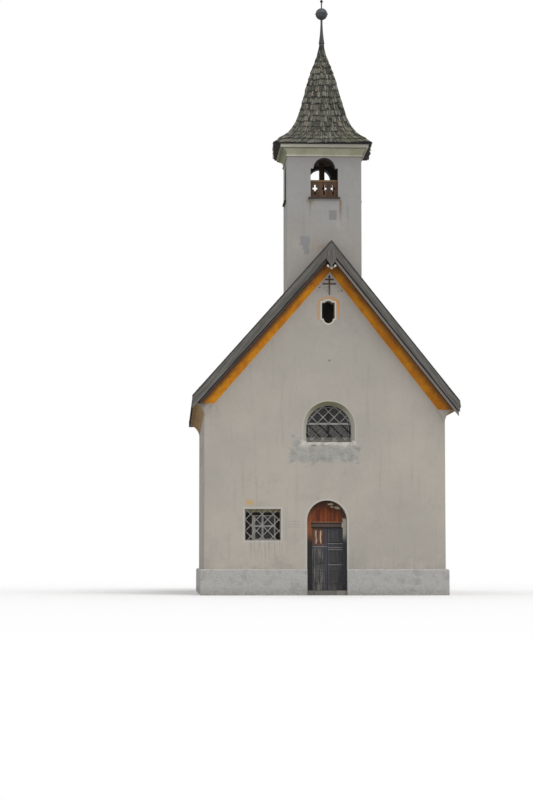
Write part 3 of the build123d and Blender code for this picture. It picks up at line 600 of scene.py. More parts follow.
# %% Timber
def timber(name, tones, directions, moss_share=0.0, wear=0.5):
    """Grained wood. The tones are dark, middling and pale, and the directions along, across and through."""
    wood = Finish(name, Roughness=0.85)
    dark, mid, pale = [tint(*tone) for tone in tones]
    place = wood.join(*[direction(wood) for direction in directions])
    wave = wood.noise(1.0, stretch=(0.8, 14, 14), detail=4, place=place)
    fibre = wood.noise(1.0, stretch=(3, 95, 95), detail=5, place=place, shift=4)
    blot = wood.noise(2.5, detail=5, shift=6)
    knot = wood.cells(1.0, stretch=(2.2, 9, 9), place=place).fade(0.14, 0.05)
    wood.coat = wood.paint(wave.fade(0.35, 0.65), dark, mid)
    wood.brush(fibre.fade(0.52, 0.68) * wear, pale)
    wood.brush(fibre.fade(0.44, 0.3) * 0.6, wood.shade(dark, 0.55))
    wood.brush(knot * 0.3, wood.shade(dark, 0.6))
    wood.dim(blot * 0.5 + 0.75)
    if moss_share:
        patchy = wood.noise(7, detail=7, shift=9, rough=0.7).fade(0.56, 0.68)
        wood.brush(patchy * moss_share, 92, 92, 62)
    wood.blot, wood.relief = blot, wave * 0.5 + fibre
    return wood


def weathered(wood, *names, change=0.15, rough=0.75, depth=0.003):
    """Gives the wood its roughness and relief, and dresses any nodes that are made of it."""
    wood.surface(wood.blot * change + rough, wood.relief, depth)
    if names:
        dress(wood.material, *names)


def along_x(wood):
    return wood.x


def along_y(wood):
    return wood.y


def along_z(wood):
    return wood.z

# %% [markdown]
# The two slopes have different pitches. Their directions are read from the largest face of each roof slab,
# and everything that lies on the roof uses them.

# %% Slopes read from the roof slabs
class Slope:
    """One side of the nave roof: its ridge point, its direction down the slope and its outward normal."""

    def __init__(self, name):
        mesh = nodes[name].data
        low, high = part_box(name)
        self.name = name
        self.side = -1 if low.x + high.x < 0.3 else 1
        tops = [face for face in mesh.polygons if face.normal.z > 0.3 and face.normal.x * self.side > 0.3]
        face = max(tops, key=lambda each: each.area)
        self.normal = face.normal.normalized()
        self.down = Vector((self.normal.z * self.side, 0, -abs(self.normal.x)))
        self.offset = self.normal.dot(face.center)
        self.front, self.back = low.y, high.y
        self.eave = low.x if self.side < 0 else high.x

    def height(self, x):
        return (self.offset - self.normal.x * x) / self.normal.z

# %% [markdown]
# The ridge is where the planes of the two slopes meet. Distances down a slope and square to it are what the
# grain, the shingles and the soot under the roof need.

# %% Ridge and distances from it
roof_sides = [Slope("roof_left"), Slope("roof_right")]
left_slope, right_slope = roof_sides
ridge_x = (right_slope.offset / right_slope.normal.z - left_slope.offset / left_slope.normal.z) / (
    right_slope.normal.x / right_slope.normal.z - left_slope.normal.x / left_slope.normal.z)
ridge_z = left_slope.height(ridge_x)
for slope in roof_sides:
    slope.ridge = Vector((ridge_x, 0, ridge_z))
    slope.length = abs(slope.eave - ridge_x) / abs(slope.down.x)
    print(slope.name, "pitch", round(atan2(-slope.down.z, abs(slope.down.x)) * 180 / pi, 1), "length",
          round(slope.length, 2))


def on_slopes(wood):
    """The distances down the slope and square to it, on whichever side of the ridge a point lies."""
    right_side = wood.x.fade(ridge_x - 0.001, ridge_x + 0.001)
    parts = []
    for axis in ("down", "normal"):
        sums = []
        for slope in roof_sides:
            vector = getattr(slope, axis)
            sums.append((wood.x - ridge_x) * vector.x + (wood.z - ridge_z) * vector.z)
        parts.append(sums[0] * (1 - right_side) + sums[1] * right_side)
    return parts

# %% [markdown]
# The coves under the verges and the eaves keep their strong ochre, because the roof shelters them. Close
# under the boards they are sooty and in painted shade, so the paint darkens by its depth under the roof's
# surface, and a painted shadow darkens the apex of the gable behind the pendant.

# %% Ochre coves
def flaking(wash, share, light, deep, lifted, bared):
    """Ochre wash that varies between two tones, with lifted and bared flakes over a share of it."""
    swirl = wash.noise(1.8, detail=6)
    flakes = wash.noise(9, detail=8, shift=4, rough=0.68)
    wash.undercoat(swirl.fade(0.4, 0.62), light, deep)
    wash.brush(flakes.fade(0.56, 0.66) * share, *lifted)
    wash.brush(flakes.fade(0.42, 0.33) * share, *bared)
    return swirl, flakes


ochre = Finish("ochre_coves", Roughness=0.9)
depth = on_slopes(ochre)[1] * -1.0
swirl, flakes = flaking(ochre, 0.3, (212, 138, 6), (190, 114, 0), (216, 150, 24), (140, 86, 10))
soot = ochre.noise(3.5, stretch=(1, 1.5, 1), detail=5, shift=12).fade(0.52, 0.68)
ochre.brush(soot * 0.2, 104, 74, 30)
on_right = ochre.x.fade(ridge_x - 0.01, ridge_x + 0.01)
# Soot and painted shade, by the depth under the roof's surface.
soot_and_shade = depth + (flakes - 0.5) * 0.08
ochre.brush(on_right * 0.22, 120, 74, 10)
ochre.brush(on_right * soot_and_shade.fade(0.53, 0.37) * 0.7, 70, 46, 20)
ochre.brush((1 - on_right) * soot_and_shade.fade(0.52, 0.38) * 0.85, 84, 58, 36)
ochre.brush(soot_and_shade.fade(0.385, 0.345) * 0.9, 44, 34, 26)
# Painted shadow at the apex of the gable, behind the pendant.
sideways, upwards = ochre.x - ridge_x, ochre.z - (ridge_z - 0.64)
apex_shadow = (sideways * sideways + upwards * upwards).root()
ochre.brush(apex_shadow.fade(0.7, 0.2) * 0.6, 78, 50, 14)
ochre.brush(apex_shadow.fade(0.22, 0.15), 20, 16, 14)
ochre.dim(flakes * 0.3 + 0.85)
ochre.surface(0.88, swirl + flakes * 0.8, 0.005)
dress(ochre.material, "front_gable_cove", "back_gable_cove")

olive = Finish("eave_ochre", Roughness=0.9)
swirl, flakes = flaking(olive, 0.4, (150, 116, 66), (128, 98, 50), (166, 138, 92), (98, 74, 40))
olive.dim(flakes * 0.3 + 0.85)
olive.surface(0.88, swirl + flakes * 0.8, 0.005)
dress(olive.material, "eave_cornice_left", "eave_cornice_right")

# %% [markdown]
# The verge has two layers of boards. The lower layer stands back a little and was painted paler on the right
# slope, and a painted shadow darkens it just under the upper one. The upper one is grey like the shingles,
# with a painted shadow line along its top under the ends of the shingles.

# %% Verge boards
def down_slope(wood):
    return on_slopes(wood)[0]


def off_slope(wood):
    return on_slopes(wood)[1]


upright = (along_z, along_x, along_y)
verge_board_y = 6.412
wood = timber("verge_timber", ((74, 71, 67), (104, 102, 98), (138, 137, 133)),
              (down_slope, off_slope, along_y), moss_share=0.5)
on_right = wood.x.fade(ridge_x - 0.01, ridge_x + 0.01)
lower_board = abs(wood.y).fade(verge_board_y, verge_board_y - 0.008)
wood.brush(lower_board * 0.7, wood.paint(on_right, tint(82, 70, 70), tint(140, 132, 128)))
# A painted shadow line along the top of the boards, under the ends of the shingles.
top_shadow_line = off_slope(wood) + wood.noise(7, detail=5, shift=14) * 0.06
wood.brush(top_shadow_line.fade(-0.03, 0.002) * 0.85, 44, 41, 36)
# Painted shadow on the lower board, just under the upper one.
under_upper_board_shadow = off_slope(wood) + 0.28 - on_right * 0.045
wood.brush(lower_board * under_upper_board_shadow.fade(-0.036, -0.028), 18, 16, 15)
weathered(wood, "front_verge_boards", "back_verge_boards", depth=0.004)

# %% [markdown]
# Timber under cover stays brown: rafters, beams and wall plates. Only its grain's direction differs from node
# to node. The sills are darker, because water runs over them, and the boards under the spire are dark and
# darker still where they stand above the cornice.

# %% Beams, plates and sills
brown = ((82, 66, 50), (108, 88, 68), (134, 114, 92))
wood = timber("roof_timber", ((84, 66, 50), (112, 91, 70), (136, 116, 94)), (down_slope, off_slope, along_y))
weathered(wood, "rafters_left", "rafters_right")
wood = timber("beam_timber", brown, (along_x, along_z, along_y))
weathered(wood, "tie_beams", "belfry_floor", "belfry_ceiling")
wood = timber("plate_timber", brown, (along_y, along_z, along_x))
weathered(wood, "wall_plates", "tower_beams")

wood = timber("sill_timber", ((44, 40, 38), (60, 50, 43), (84, 72, 64)), (along_x, along_z, along_y))
eave_board = wood.z.fade(cornice_high.z - 0.02, cornice_high.z - 0.01)
wood.brush(eave_board * 0.8, 34, 30, 36)
weathered(wood, "belfry_sills", "spire_eaves")

# %% [markdown]
# The belfry's balustrades are stained red-brown, and their outer rail is paler along its top. The pendant at
# the tip of the gable is grey with pale hooks.

# %% Balustrades and pendant
wood = timber("belfry_timber", ((66, 46, 34), (96, 68, 48), (124, 94, 68)), upright, moss_share=0.2)
rail_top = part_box("belfry_balustrades")[1].z
handrail = wood.z.fade(rail_top - 0.07, rail_top - 0.06)
outer_rail = 1.0
outwards = abs(wood.x).highest(abs(wood.y - tower_y)).fade(outer_rail - 0.1, outer_rail)
wood.brush(handrail * outwards, 112, 90, 62)
weathered(wood, "belfry_balustrades", "spire_mast")

wood = timber("pendant_timber", ((84, 82, 78), (112, 110, 106), (146, 144, 140)), upright, moss_share=0.25)
pendant_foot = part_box("verge_pendant")[0].z
hooks = abs(wood.x - ridge_x).fade(0.06, 0.1)
hooks *= wood.z.fade(pendant_foot + 0.19, pendant_foot + 0.16)
wood.brush(hooks * 0.9, 204, 198, 190)
wood.brush(wood.z.fade(pendant_foot + 0.065, pendant_foot + 0.04) * 0.8, 196, 184, 156)
weathered(wood, "verge_pendant")

# %% [markdown]
# ## Door
#
# The leaves are old stained pine, nearly black, and the sun has bleached the upper panel of the left leaf
# down to brown stripes. The arch above them is closed with upright red-brown boards behind a dark transom.

# %% Door leaves
left_low, left_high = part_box("left_door")
arch_low, arch_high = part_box("door_tympanum")
wood = timber("leaf_timber", ((50, 49, 52), (68, 66, 69), (104, 102, 104)), upright, wear=0.4)
stripes = wood.noise(1.0, stretch=(26, 1, 1.2), detail=5, shift=15)
wander = (wood.noise(1.0, stretch=(9, 1, 5), detail=4, shift=16) - 0.5) * 0.09
striped = strongest(abs(wood.x - door_middle - aside + wander).fade(half + 0.008, half - 0.008)
                    for aside, half in ((-0.44, 0.018), (-0.325, 0.026), (-0.172, 0.024)))
striped *= stripes.fade(0.36, 0.52) * 0.6 + 0.4
bleached = wood.paint(stripes.fade(0.42, 0.6), tint(76, 48, 36), tint(112, 70, 48))
bleached = wood.paint(striped, bleached, tint(212, 184, 160))
in_panel = wood.z.band(left_high.z - 0.50, left_high.z - 0.075, 0.015)
in_panel *= wood.x.band(left_low.x + 0.08, left_high.x - 0.07, 0.012)
wood.brush(in_panel * 0.95, bleached)
around = wood.z.band(left_high.z - 0.56, left_high.z, 0.03)
around *= wood.x.fade(left_high.x - 0.06, left_high.x - 0.12)
wood.brush(around * (1 - in_panel) * 0.6, 104, 66, 46)
pale_lines = stripes.fade(0.5, 0.62) * wood.x.band(left_low.x, left_high.x - 0.1, 0.05)
pale_lines *= wood.z.fade(left_high.z - 0.6, left_high.z - 0.7)
wood.brush(pale_lines * 0.7, 150, 146, 138)
low_worn = wood.z.fade(left_low.z + 0.35, left_low.z) * stripes.fade(0.4, 0.6)
wood.brush(low_worn * 0.5, 112, 108, 102)
print("leaves from", round(left_low.z, 3), "to", round(left_high.z, 3))

# %% [markdown]
# Pale lines are painted highlights along the edges of the rails, and two dark ones mark the deep joints of
# the right leaf. They are given by their distance under the leaf's top.

# %% Rails of the leaves
on_right = wood.x.fade(left_high.x - 0.001, left_high.x + 0.001)
on_left = 1 - on_right
# Painted highlights along the edges of the rails.
rail_highlights = [(drop, on_right) for drop in (0.495, 0.625, 0.685, 1.165)] + [(0.59, on_left)]
for rail, side in rail_highlights:
    line = wood.z.band(left_high.z - rail - 0.012, left_high.z - rail + 0.008, 0.004) * side
    wood.brush(line * 0.75, 150, 148, 148)
for rail in (0.465, 0.655):
    line = wood.z.band(left_high.z - rail - 0.014, left_high.z - rail + 0.014, 0.004) * on_right
    wood.brush(line * 0.8, 22, 20, 22)
stile = abs(wood.x - left_high.x + 0.03).fade(0.07, 0.05)
wood.brush(stile * 0.5, 62, 62, 78)
weathered(wood, "left_door", "right_door", change=0.2, rough=0.6, depth=0.002)

# %% [markdown]
# The frame is red-brown in the arch, and painted shadow darkens it towards the crown and along the outer edge
# of the arch. It is pale for a short stretch on its right side, and painted shade makes it dark beside the
# leaves, bluish on the right. The dark transom carries the boards above it, and a few worn spots in the arch
# are light.

# %% Door frame
wood = timber("frame_timber", ((122, 66, 34), (150, 86, 48), (182, 124, 84)), upright, wear=0.4)
ring = wood.arch_off(wood.x - door_middle, wood.z, door_half, door_spring)
above = wood.z.fade(door_spring + 0.02, door_spring + 0.1)
righter = wood.x.fade(door_middle + 0.1, door_middle + 0.4)
# Painted shadow towards the crown of the arch and along its outer edge.
wood.brush(wood.z.fade(door_spring + 0.15, door_high.z - 0.08) * 0.75, 52, 30, 20)
wood.brush(above * ring.fade(-0.035, -0.02), 46, 30, 22)
wood.brush(righter * above, 84, 60, 45)
wood.brush(righter * (1 - above), 196, 194, 178)
# Painted shade beside the leaves, bluish on the right.
lower_shade = wood.z.fade(left_high.z - 0.1, left_high.z - 0.5)
wood.brush(lower_shade, wood.paint(righter, tint(38, 36, 38), tint(62, 66, 74)))
transom_half = 0.5
cross_beam = wood.z.band(left_high.z, arch_low.z + 0.01, 0.01)
cross_beam *= abs(wood.x - door_middle).fade(transom_half, transom_half - 0.02)
wood.brush(cross_beam, 86, 70, 62)
wood.brush(cross_beam * wood.z.fade(arch_low.z - 0.045, arch_low.z - 0.035), 14, 11, 10)
wood.brush(cross_beam * wood.z.fade(left_high.z + 0.034, left_high.z + 0.026), 16, 13, 13)
light_spots = ((0.122, 0.11, 0.11, 0.042), (0.18, 0.2, 0.065, 0.022), (0.344, 0.227, 0.085, 0.05))
wood.brush(wood.blots(door_middle, door_high.z, light_spots) * 0.9, 190, 180, 160)
weathered(wood, "door_frame", change=0.2, rough=0.65, depth=0.002)

# %% [markdown]
# Every piece that is added here becomes an object in the same way: it rides on a body, fills a material slot
# and may stand for nodes of the frame. Pieces that follow a solid start from a copy of it, with its doubles
# merged, and are cut by planes.

# %% Pieces and cuts
def shown(name, bm, body, slot, material, *stands_for):
    """Makes a finished bmesh an object of the chapel."""
    mesh = bpy.data.meshes.new(name)
    bm.to_mesh(mesh)
    bm.free()
    mesh.materials.append(material)
    piece = placed(name, mesh)
    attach(piece, body)
    if stands_for:
        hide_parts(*stands_for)
    print(name, "has", len(mesh.polygons), "faces")


def merged_copy(name):
    bm = bmesh.new()
    bm.from_mesh(nodes[name].data)
    bmesh.ops.remove_doubles(bm, verts=bm.verts, dist=1e-5)
    return bm


def cut_away(bm, point, normal):
    """Removes what lies beyond a plane and closes the cut."""
    geometry = bm.verts[:] + bm.edges[:] + bm.faces[:]
    cut = bmesh.ops.bisect_plane(bm, geom=geometry, plane_co=point, plane_no=normal, clear_outer=True)
    rim = [edge for edge in cut["geom_cut"] if isinstance(edge, bmesh.types.BMEdge)]
    bmesh.ops.contextual_create(bm, geom=rim)

# %% [markdown]
# The boards of the arch are cut from a copy of the solid that fills it. Two cuts free each board, so every
# board keeps the curved top, and a small bevel gives the joints a line of light.

# %% Boards of the door's arch
board_count = 8
half_joint = 0.002
uneven = 0.003
board_step = (arch_high.x - arch_low.x) / board_count
boards = bmesh.new()
for number in range(board_count):
    board = merged_copy("door_tympanum")
    left_edge = arch_low.x + board_step * number + half_joint
    right_edge = arch_low.x + board_step * (number + 1) - half_joint
    cut_away(board, (right_edge, 0, 0), (1, 0, 0))
    cut_away(board, (left_edge, 0, 0), (-1, 0, 0))
    bmesh.ops.translate(board, verts=board.verts, vec=(0, uneven * (number * 7 % 3), 0))
    part = bpy.data.meshes.new("board")
    board.to_mesh(part)
    board.free()
    boards.from_mesh(part)
    bpy.data.meshes.remove(part)
arrises = [edge for edge in boards.edges
           if abs(edge.verts[0].co.x - edge.verts[1].co.x) < 1e-5 and edge.calc_length() > 0.05
           and max(vert.co.y for vert in edge.verts) < (arch_low.y + arch_high.y) / 2]
bmesh.ops.bevel(boards, geom=arrises, offset=0.005, segments=2, affect="EDGES", profile=0.5, material=-1)
bmesh.ops.recalc_face_normals(boards, faces=boards.faces)

print(board_count, "boards,", round(board_step, 3), "wide")

# %% [markdown]
# The boards are red-brown, and each has its own tone. It comes from the board's number across the arch.

# %% Finish of the boards
wood = timber("arch_board_timber", ((92, 38, 18), (138, 66, 30), (190, 118, 68)), upright, wear=0.6)
which = wood.make("Math", {"operation": "FLOOR"}, {0: (wood.x - arch_low.x) / board_step})
change = wood.make("TexWhiteNoise", {"noise_dimensions": "1D"}, {"W": which})
wood.dim(change * 0.4 + 0.75)
# Painted shadow darkens the boards towards the crown of the arch.
wood.brush(wood.z.fade(arch_high.z - 0.2, arch_high.z) * 0.5, 70, 36, 20)
wood.brush(wood.z.band(arch_low.z + 0.004, arch_low.z + 0.03, 0.005) * 0.6, 190, 144, 116)
wood.brush(wood.blots(door_middle, door_high.z, light_spots) * 0.9, 190, 180, 160)
weathered(wood, change=0.2, rough=0.65, depth=0.002)
shown("arch_boards", boards, "chapel", "door_wood", wood.material, "door_tympanum")

# %% [markdown]
# ## Windows, iron and tin
#
# The sashes have flaking light grey paint. The panes are dusty: most light goes through, and a little dust
# on them catches the sky. The ironwork is forged bar with rust, and the cap and ball of the spire are
# painted tin.

# %% Side sashes
sash = Finish("sash_paint", Roughness=0.6)
peel = sash.noise(22, detail=6, rough=0.7)
smear = sash.noise(4, detail=4, shift=3)
sash.undercoat(smear.fade(0.35, 0.65), (170, 168, 163), (150, 148, 143))
sash.brush(peel.fade(0.58, 0.64) * 0.8, 92, 84, 74)
sash.surface(peel * 0.3 + 0.45, peel.fade(0.64, 0.58), 0.0008)
dress(sash.material, "side_window_frames")

# %% [markdown]
# The front windows have dark sashes with pale edges, where the putty shows. One material serves both windows,
# so a mask by height keeps the lunette's lines off the square window.

# %% Dark sashes
casement = Finish("dark_sashes", Roughness=0.75, Specular_IOR_Level=0.15)
peel = casement.noise(22, detail=6, rough=0.7)
transom_z = lunette_spring + 0.117
between = 4.0
in_lunette = casement.z.fade(between, between + 0.1)
ring = casement.arch_off(casement.x - lunette_middle, casement.z, frame_half - 0.09, lunette_spring)
pale = ring.band(0.0, 0.024, 0.004) * 0.55
rail = casement.z.band(transom_z - 0.032, transom_z + 0.032, 0.004)
pale = pale.highest(rail * ring.fade(0.01, 0.0))
pale = pale.highest(casement.z.fade(lunette_foot + 0.112, lunette_foot + 0.108) * 0.42)
pale *= in_lunette
beside = casement.x - window_low.x
pane_box = beside.band(0.235, 0.98, 0.004)
pane_box *= casement.z.fade(window_high.z - 0.198, window_high.z - 0.202)
pale = pale.highest(pane_box * (1 - in_lunette))
head_rail = casement.z.fade(window_high.z - 0.115, window_high.z - 0.095) * (1 - in_lunette)
casement.undercoat(peel.fade(0.4, 0.6), (48, 45, 44), (34, 32, 32))
casement.brush(pale * (peel.fade(0.66, 0.5) * 0.5 + 0.5), 158, 156, 152)
casement.brush(head_rail * (peel.fade(0.35, 0.65) * 0.3 + 0.7), 166, 157, 122)
casement.surface(peel * 0.2 + 0.6, peel, 0.0008)
dress(casement.material, "front_window_frame", "lunette_frame")

# %% [markdown]
# The panes lie in dark rooms. Dust makes them a little rougher and greyer, and the lunette's lower panes are
# a paler grey.

# %% Panes
pane = Finish("dusty_glass", Roughness=0.12, Specular_IOR_Level=0.15, Transmission_Weight=0.75)
dust = pane.noise(6, detail=6, rough=0.65)
pane.undercoat(dust.fade(0.35, 0.7), (20, 18, 22), (52, 50, 54))
indoors_y = front_y + 0.5
grey_pane = pane.z.band(lunette_foot, transom_z, 0.01) * pane.y.fade(indoors_y, indoors_y - 0.05)
pane.brush(grey_pane * (dust.fade(0.3, 0.6) * 0.5 + 0.5), 150, 148, 145)
pane.surface(dust.fade(0.4, 0.7) * 0.25 + 0.05, pane.noise(3, detail=1), 0.001)
dress(pane.material, "window_glass")

# %% [markdown]
# Bare iron is dark with brown rust in broad patches. Its scale is one noise that drives colour, roughness and
# relief together, as on real iron.

# %% Bare iron
iron = Finish("forged_iron", Roughness=0.6, Metallic=0.6)
scale = iron.noise(30, detail=6, rough=0.7)
hue = iron.noise(6, detail=4, shift=5)
iron.undercoat(scale.fade(0.42, 0.6), (58, 54, 51), (84, 66, 54))
iron.brush(hue.fade(0.52, 0.66) * 0.6, 98, 66, 44)
iron.surface(scale * 0.3 + 0.5, scale, 0.0008)
dress(iron.material, "door_hinge_pins", "finial_cross")

# %% [markdown]
# The grilles were painted grey. In the lunette's lower half the bars are given painted shade: all of them the
# grey of the panes behind, and those of one direction near black, so a sawtooth along the slant of the
# lattice picks every bar that falls to the right.

# %% Painted grilles
grey_iron = Finish("painted_iron", Roughness=0.7, Specular_IOR_Level=0.12)
scale = grey_iron.noise(30, detail=6, rough=0.7)
hue = grey_iron.noise(5, detail=4, shift=5)
grey_iron.undercoat(hue.fade(0.4, 0.6), (156, 154, 148), (134, 131, 125))
grey_iron.brush(scale.fade(0.58, 0.66) * 0.7, 96, 78, 64)
shaded = grey_iron.z.band(lunette_foot + 0.12, transom_z - 0.03, 0.02)
shaded *= grey_iron.y.fade(indoors_y, indoors_y - 0.05)
lattice_wide = 0.355
slant = cos(radians(45))
bar_step = lattice_wide * slant
crossed = (grey_iron.x - lunette_middle) + (grey_iron.z - (transom_z - 0.1455))
crossed = grey_iron.make("Math", {"operation": "FRACT"}, {0: crossed * slant / bar_step})
falling_bars_in_shade = (abs(crossed - 0.5) * bar_step).fade(0.02, 0.014)
# Painted shade on the bars in the lunette's lower half.
grey_iron.brush(shaded * 0.85, 92, 89, 86)
grey_iron.brush(shaded * falling_bars_in_shade, 16, 15, 15)
grey_iron.surface(scale * 0.3 + 0.5, scale, 0.0008)
dress(grey_iron.material, "front_window_grille", "lunette_grille", "side_window_grilles")

# %% [markdown]
# The cap and the ball of the spire are tin with old dark paint, washed in upright streaks, with rust spots.

# %% Painted tin
tin = Finish("painted_tin", Roughness=0.5, Metallic=0.35)
sheet = tin.noise(5, detail=5)
spots = tin.noise(26, detail=6, shift=4, rough=0.7)
washed = tin.noise(1.0, stretch=(18, 18, 1.5), detail=4, shift=7)
tin.undercoat(sheet.fade(0.38, 0.62), (58, 64, 66), (78, 84, 86))
tin.brush(washed.fade(0.54, 0.7) * 0.45, 118, 122, 126)
tin.brush(spots.fade(0.6, 0.68) * 0.7, 92, 68, 50)
cap_foot = 18.75
tin.brush(tin.z.fade(cap_foot + 0.2, cap_foot) * 0.6, 60, 52, 56)
tin.surface(spots * 0.3 + 0.35, sheet * 0.7 + spots * 0.3, 0.003)
dress(tin.material, "spire_cap", "finial_ball")

# %% [markdown]
# The floor is laid with stone slabs, each row shifted against the last. A brick pattern gives both their
# tones and their joints.

# %% Stone floor
flags = Finish("stone_flags", Roughness=0.75)
slabs = {"Vector": flags.join(flags.x, flags.y, 0.0), "Scale": 1.0, "Mortar Size": 0.008, "Brick Width": 0.7,
         "Row Height": 0.45}
mortar = flags.make("TexBrick", {"offset": 0.5}, slabs, "Fac")
slabs |= {"Color1": tint(128, 124, 116), "Color2": tint(104, 101, 95), "Mortar": tint(70, 68, 64)}
flags.coat = flags.make("TexBrick", {"offset": 0.5}, slabs)
tread = flags.noise(12, detail=7, rough=0.7)
flags.dim(tread * 0.5 + 0.75)
flags.surface(tread * 0.3 + 0.55, tread * 0.4 - mortar, 0.004)
dress(flags.material, "floor", "threshold")

# %% [markdown]
# ## Shingles
#
# The roofs are covered with split wooden shingles in courses about 16 cm apart. A carved relief would look
# flat at the verge, where the ends of the shingles show, so each one is a real wedge. One wedge is made
# with operators, and numbers then copy it thousands of times with small changes of width, lift and tone. A
# point attribute carries the tone of each shingle to the shader.

# %% One shingle
def wedge():
    """A shingle one unit wide and long: thin at its head, thick and eased at its butt."""
    bm = bmesh.new()
    bmesh.ops.create_cube(bm, size=1.0)
    bmesh.ops.translate(bm, verts=bm.verts, vec=(0, -0.5, 0.5))
    for vert in bm.verts:
        if vert.co.y > -0.5 and vert.co.z > 0.5:
            vert.co.z = 0.25
    butt = [edge for edge in bm.edges if all(v.co.y < -0.9 and v.co.z > 0.9 for v in edge.verts)]
    bmesh.ops.bevel(bm, geom=butt, offset=0.06, segments=1, affect="EDGES", profile=0.5, material=-1)
    bmesh.ops.recalc_face_normals(bm, faces=bm.faces)
    points = np.array([vert.co[:] for vert in bm.verts])
    faces = [[vert.index for vert in face.verts] for face in bm.faces]
    bm.free()
    return points, faces


wedge_points, wedge_faces = wedge()
dice = np.random.default_rng(7)
print("a shingle has", len(wedge_faces), "faces")

# %% [markdown]
# Thousands of objects would be slow, so all shingles of a slope become one mesh. Their corners are worked out
# on arrays, and its faces repeat those of the wedge. Each corner keeps the shingle's tone and its distance
# from the butt for the shader.

# %% Copies of the shingle
def lay(name, rows, material, stands_for=()):
    """Copies the wedge once for each row: middle of the butt, across, up, out, width, length, thickness, and
    how far its left and right edges move at the head."""
    loops = [index for face in wedge_faces for index in face]
    sizes = [len(face) for face in wedge_faces]
    count = len(rows)
    points = np.empty((count, len(wedge_points), 3))
    for number, (butt, across, up, out, width, length, thickness, left, right) in enumerate(rows):
        axes = np.array([across * width, up * length, out * thickness])
        sideways = left * (0.5 - wedge_points[:, 0]) + right * (0.5 + wedge_points[:, 0])
        shift = (wedge_points[:, 1] + 1) * sideways
        points[number] = butt + (wedge_points + (0, 1, 0)) @ axes + np.outer(shift, across)
    mesh = bpy.data.meshes.new(name)
    mesh.vertices.add(count * len(wedge_points))
    mesh.vertices.foreach_set("co", points.ravel())
    mesh.loops.add(count * len(loops))
    steps = np.repeat(np.arange(count) * len(wedge_points), len(loops))
    mesh.loops.foreach_set("vertex_index", np.tile(loops, count) + steps)
    mesh.polygons.add(count * len(sizes))
    starts = np.concatenate([[0], np.cumsum(np.tile(sizes, count))[:-1]])
    mesh.polygons.foreach_set("loop_start", starts)
    mesh.update(calc_edges=True)
    tones = mesh.attributes.new("tone", "FLOAT", "POINT")
    tones.data.foreach_set("value", np.repeat(dice.random(count), len(wedge_points)))
    climbs = mesh.attributes.new("climb", "FLOAT", "POINT")
    lengths = np.array([row[5] for row in rows])
    climbs.data.foreach_set("value", (lengths[:, None] * (wedge_points[:, 1] + 1)).ravel())
    mesh.materials.append(material)
    piece = placed(name, mesh)
    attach(piece, "chapel")
    if stands_for:
        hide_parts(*stands_for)
    print(name, count, "shingles,", len(mesh.polygons), "faces")

# %% [markdown]
# Every shingle has its own grey, from its tone attribute. A painted shadow darkens it just under the butt of
# the course above, painted shade darkens the ends at the verge, and lichen settles on some. The grain runs
# down the slope, or up the spire.

# %% Shingle finish
verge_end_y = 6.445


def shingle_finish(name, along, across, tones, moss_share, exposed, pitted):
    """Split shingles. The tones are dark, pale and tan, and exposed is how much of each shingle shows."""
    wood = Finish(name, Roughness=0.9)
    dark, pale, tan = [tint(*tone) for tone in tones]
    climb = wood.make("Attribute", {"attribute_name": "climb"}, {}, "Fac")
    own = wood.make("Attribute", {"attribute_name": "tone"}, {}, "Fac")
    place = wood.join(along(wood), across(wood), own * 9)
    fibre = wood.noise(1.0, stretch=(5, 70, 1), detail=5, place=place)
    blot = wood.noise(1.6, detail=5, shift=4)
    wood.coat = wood.paint(own, dark, pale)
    wood.brush(own.fade(0.9, 0.95) * 0.45, tan)
    wood.brush(own.fade(0.12, 0.05) * 0.6, 48, 46, 44)
    wood.brush(fibre.fade(0.44, 0.3) * 0.55, wood.shade(dark, 0.5))
    wood.brush(fibre.fade(0.55, 0.7) * 0.35, wood.shade(pale, 1.35))
    pits = wood.noise(17, detail=6, shift=21, rough=0.72)
    wood.brush(pits.fade(0.48, 0.38) * pitted, wood.shade(dark, 0.6))
    wood.brush(pits.fade(0.53, 0.64) * pitted, wood.shade(pale, 1.25))
    mossy = wood.noise(11, detail=7, shift=2, rough=0.7) + wood.noise(0.7, detail=3, shift=6) * 0.6
    wood.brush(mossy.fade(0.84, 0.94) * moss_share, 88, 92, 56)
    # Painted shadow just under the butt of the course above.
    butt_shadow = climb.fade(exposed - 0.06, exposed - 0.005)
    wood.brush(butt_shadow * 0.65, wood.shade(dark, 0.35))
    # Painted shade on the ends of the shingles at the verge.
    verge_end_shade = abs(wood.y).fade(verge_end_y - 0.02, verge_end_y)
    verge_end_shade *= blot.fade(0.42, 0.6) * 0.5 + 0.45
    wood.brush(verge_end_shade, wood.shade(dark, 0.3))
    wood.dim(blot * 0.7 + 0.65)
    wood.surface(fibre * 0.2 + 0.72, fibre + blot * 0.2, 0.003)
    return wood.material


course = 0.16
nave_shingle = shingle_finish(
    "nave_shingles", down_slope, along_y, ((72, 69, 64), (112, 108, 101), (128, 118, 104)), moss_share=0.7,
    exposed=course, pitted=0.2)
print("nave courses", course, "m apart")

# %% [markdown]
# The nave slopes: the courses start at the eave and climb to the ridge. The slab's top is lowered so that
# the butts end up where the solid roof has its surface. Shingles that would lie wholly inside the tower are
# left out.

# %% Nave slopes
shingle_width = 0.12
shingle_length = 0.34
side_joint = 0.004
nave_lift, nave_thickness = (0.016, 0.024), (0.018, 0.027)
verge_lifts = (0, 0, 0.008, 0.016)
verge_overhang = 0.03
back_inset = 0.006
deck_drop = 0.03


print("nave shingles", shingle_width, "by", shingle_length, "m")


def inside_tower(point):
    return tower_low.x < point.x < tower_high.x and front_y < point.y < tower_high.y


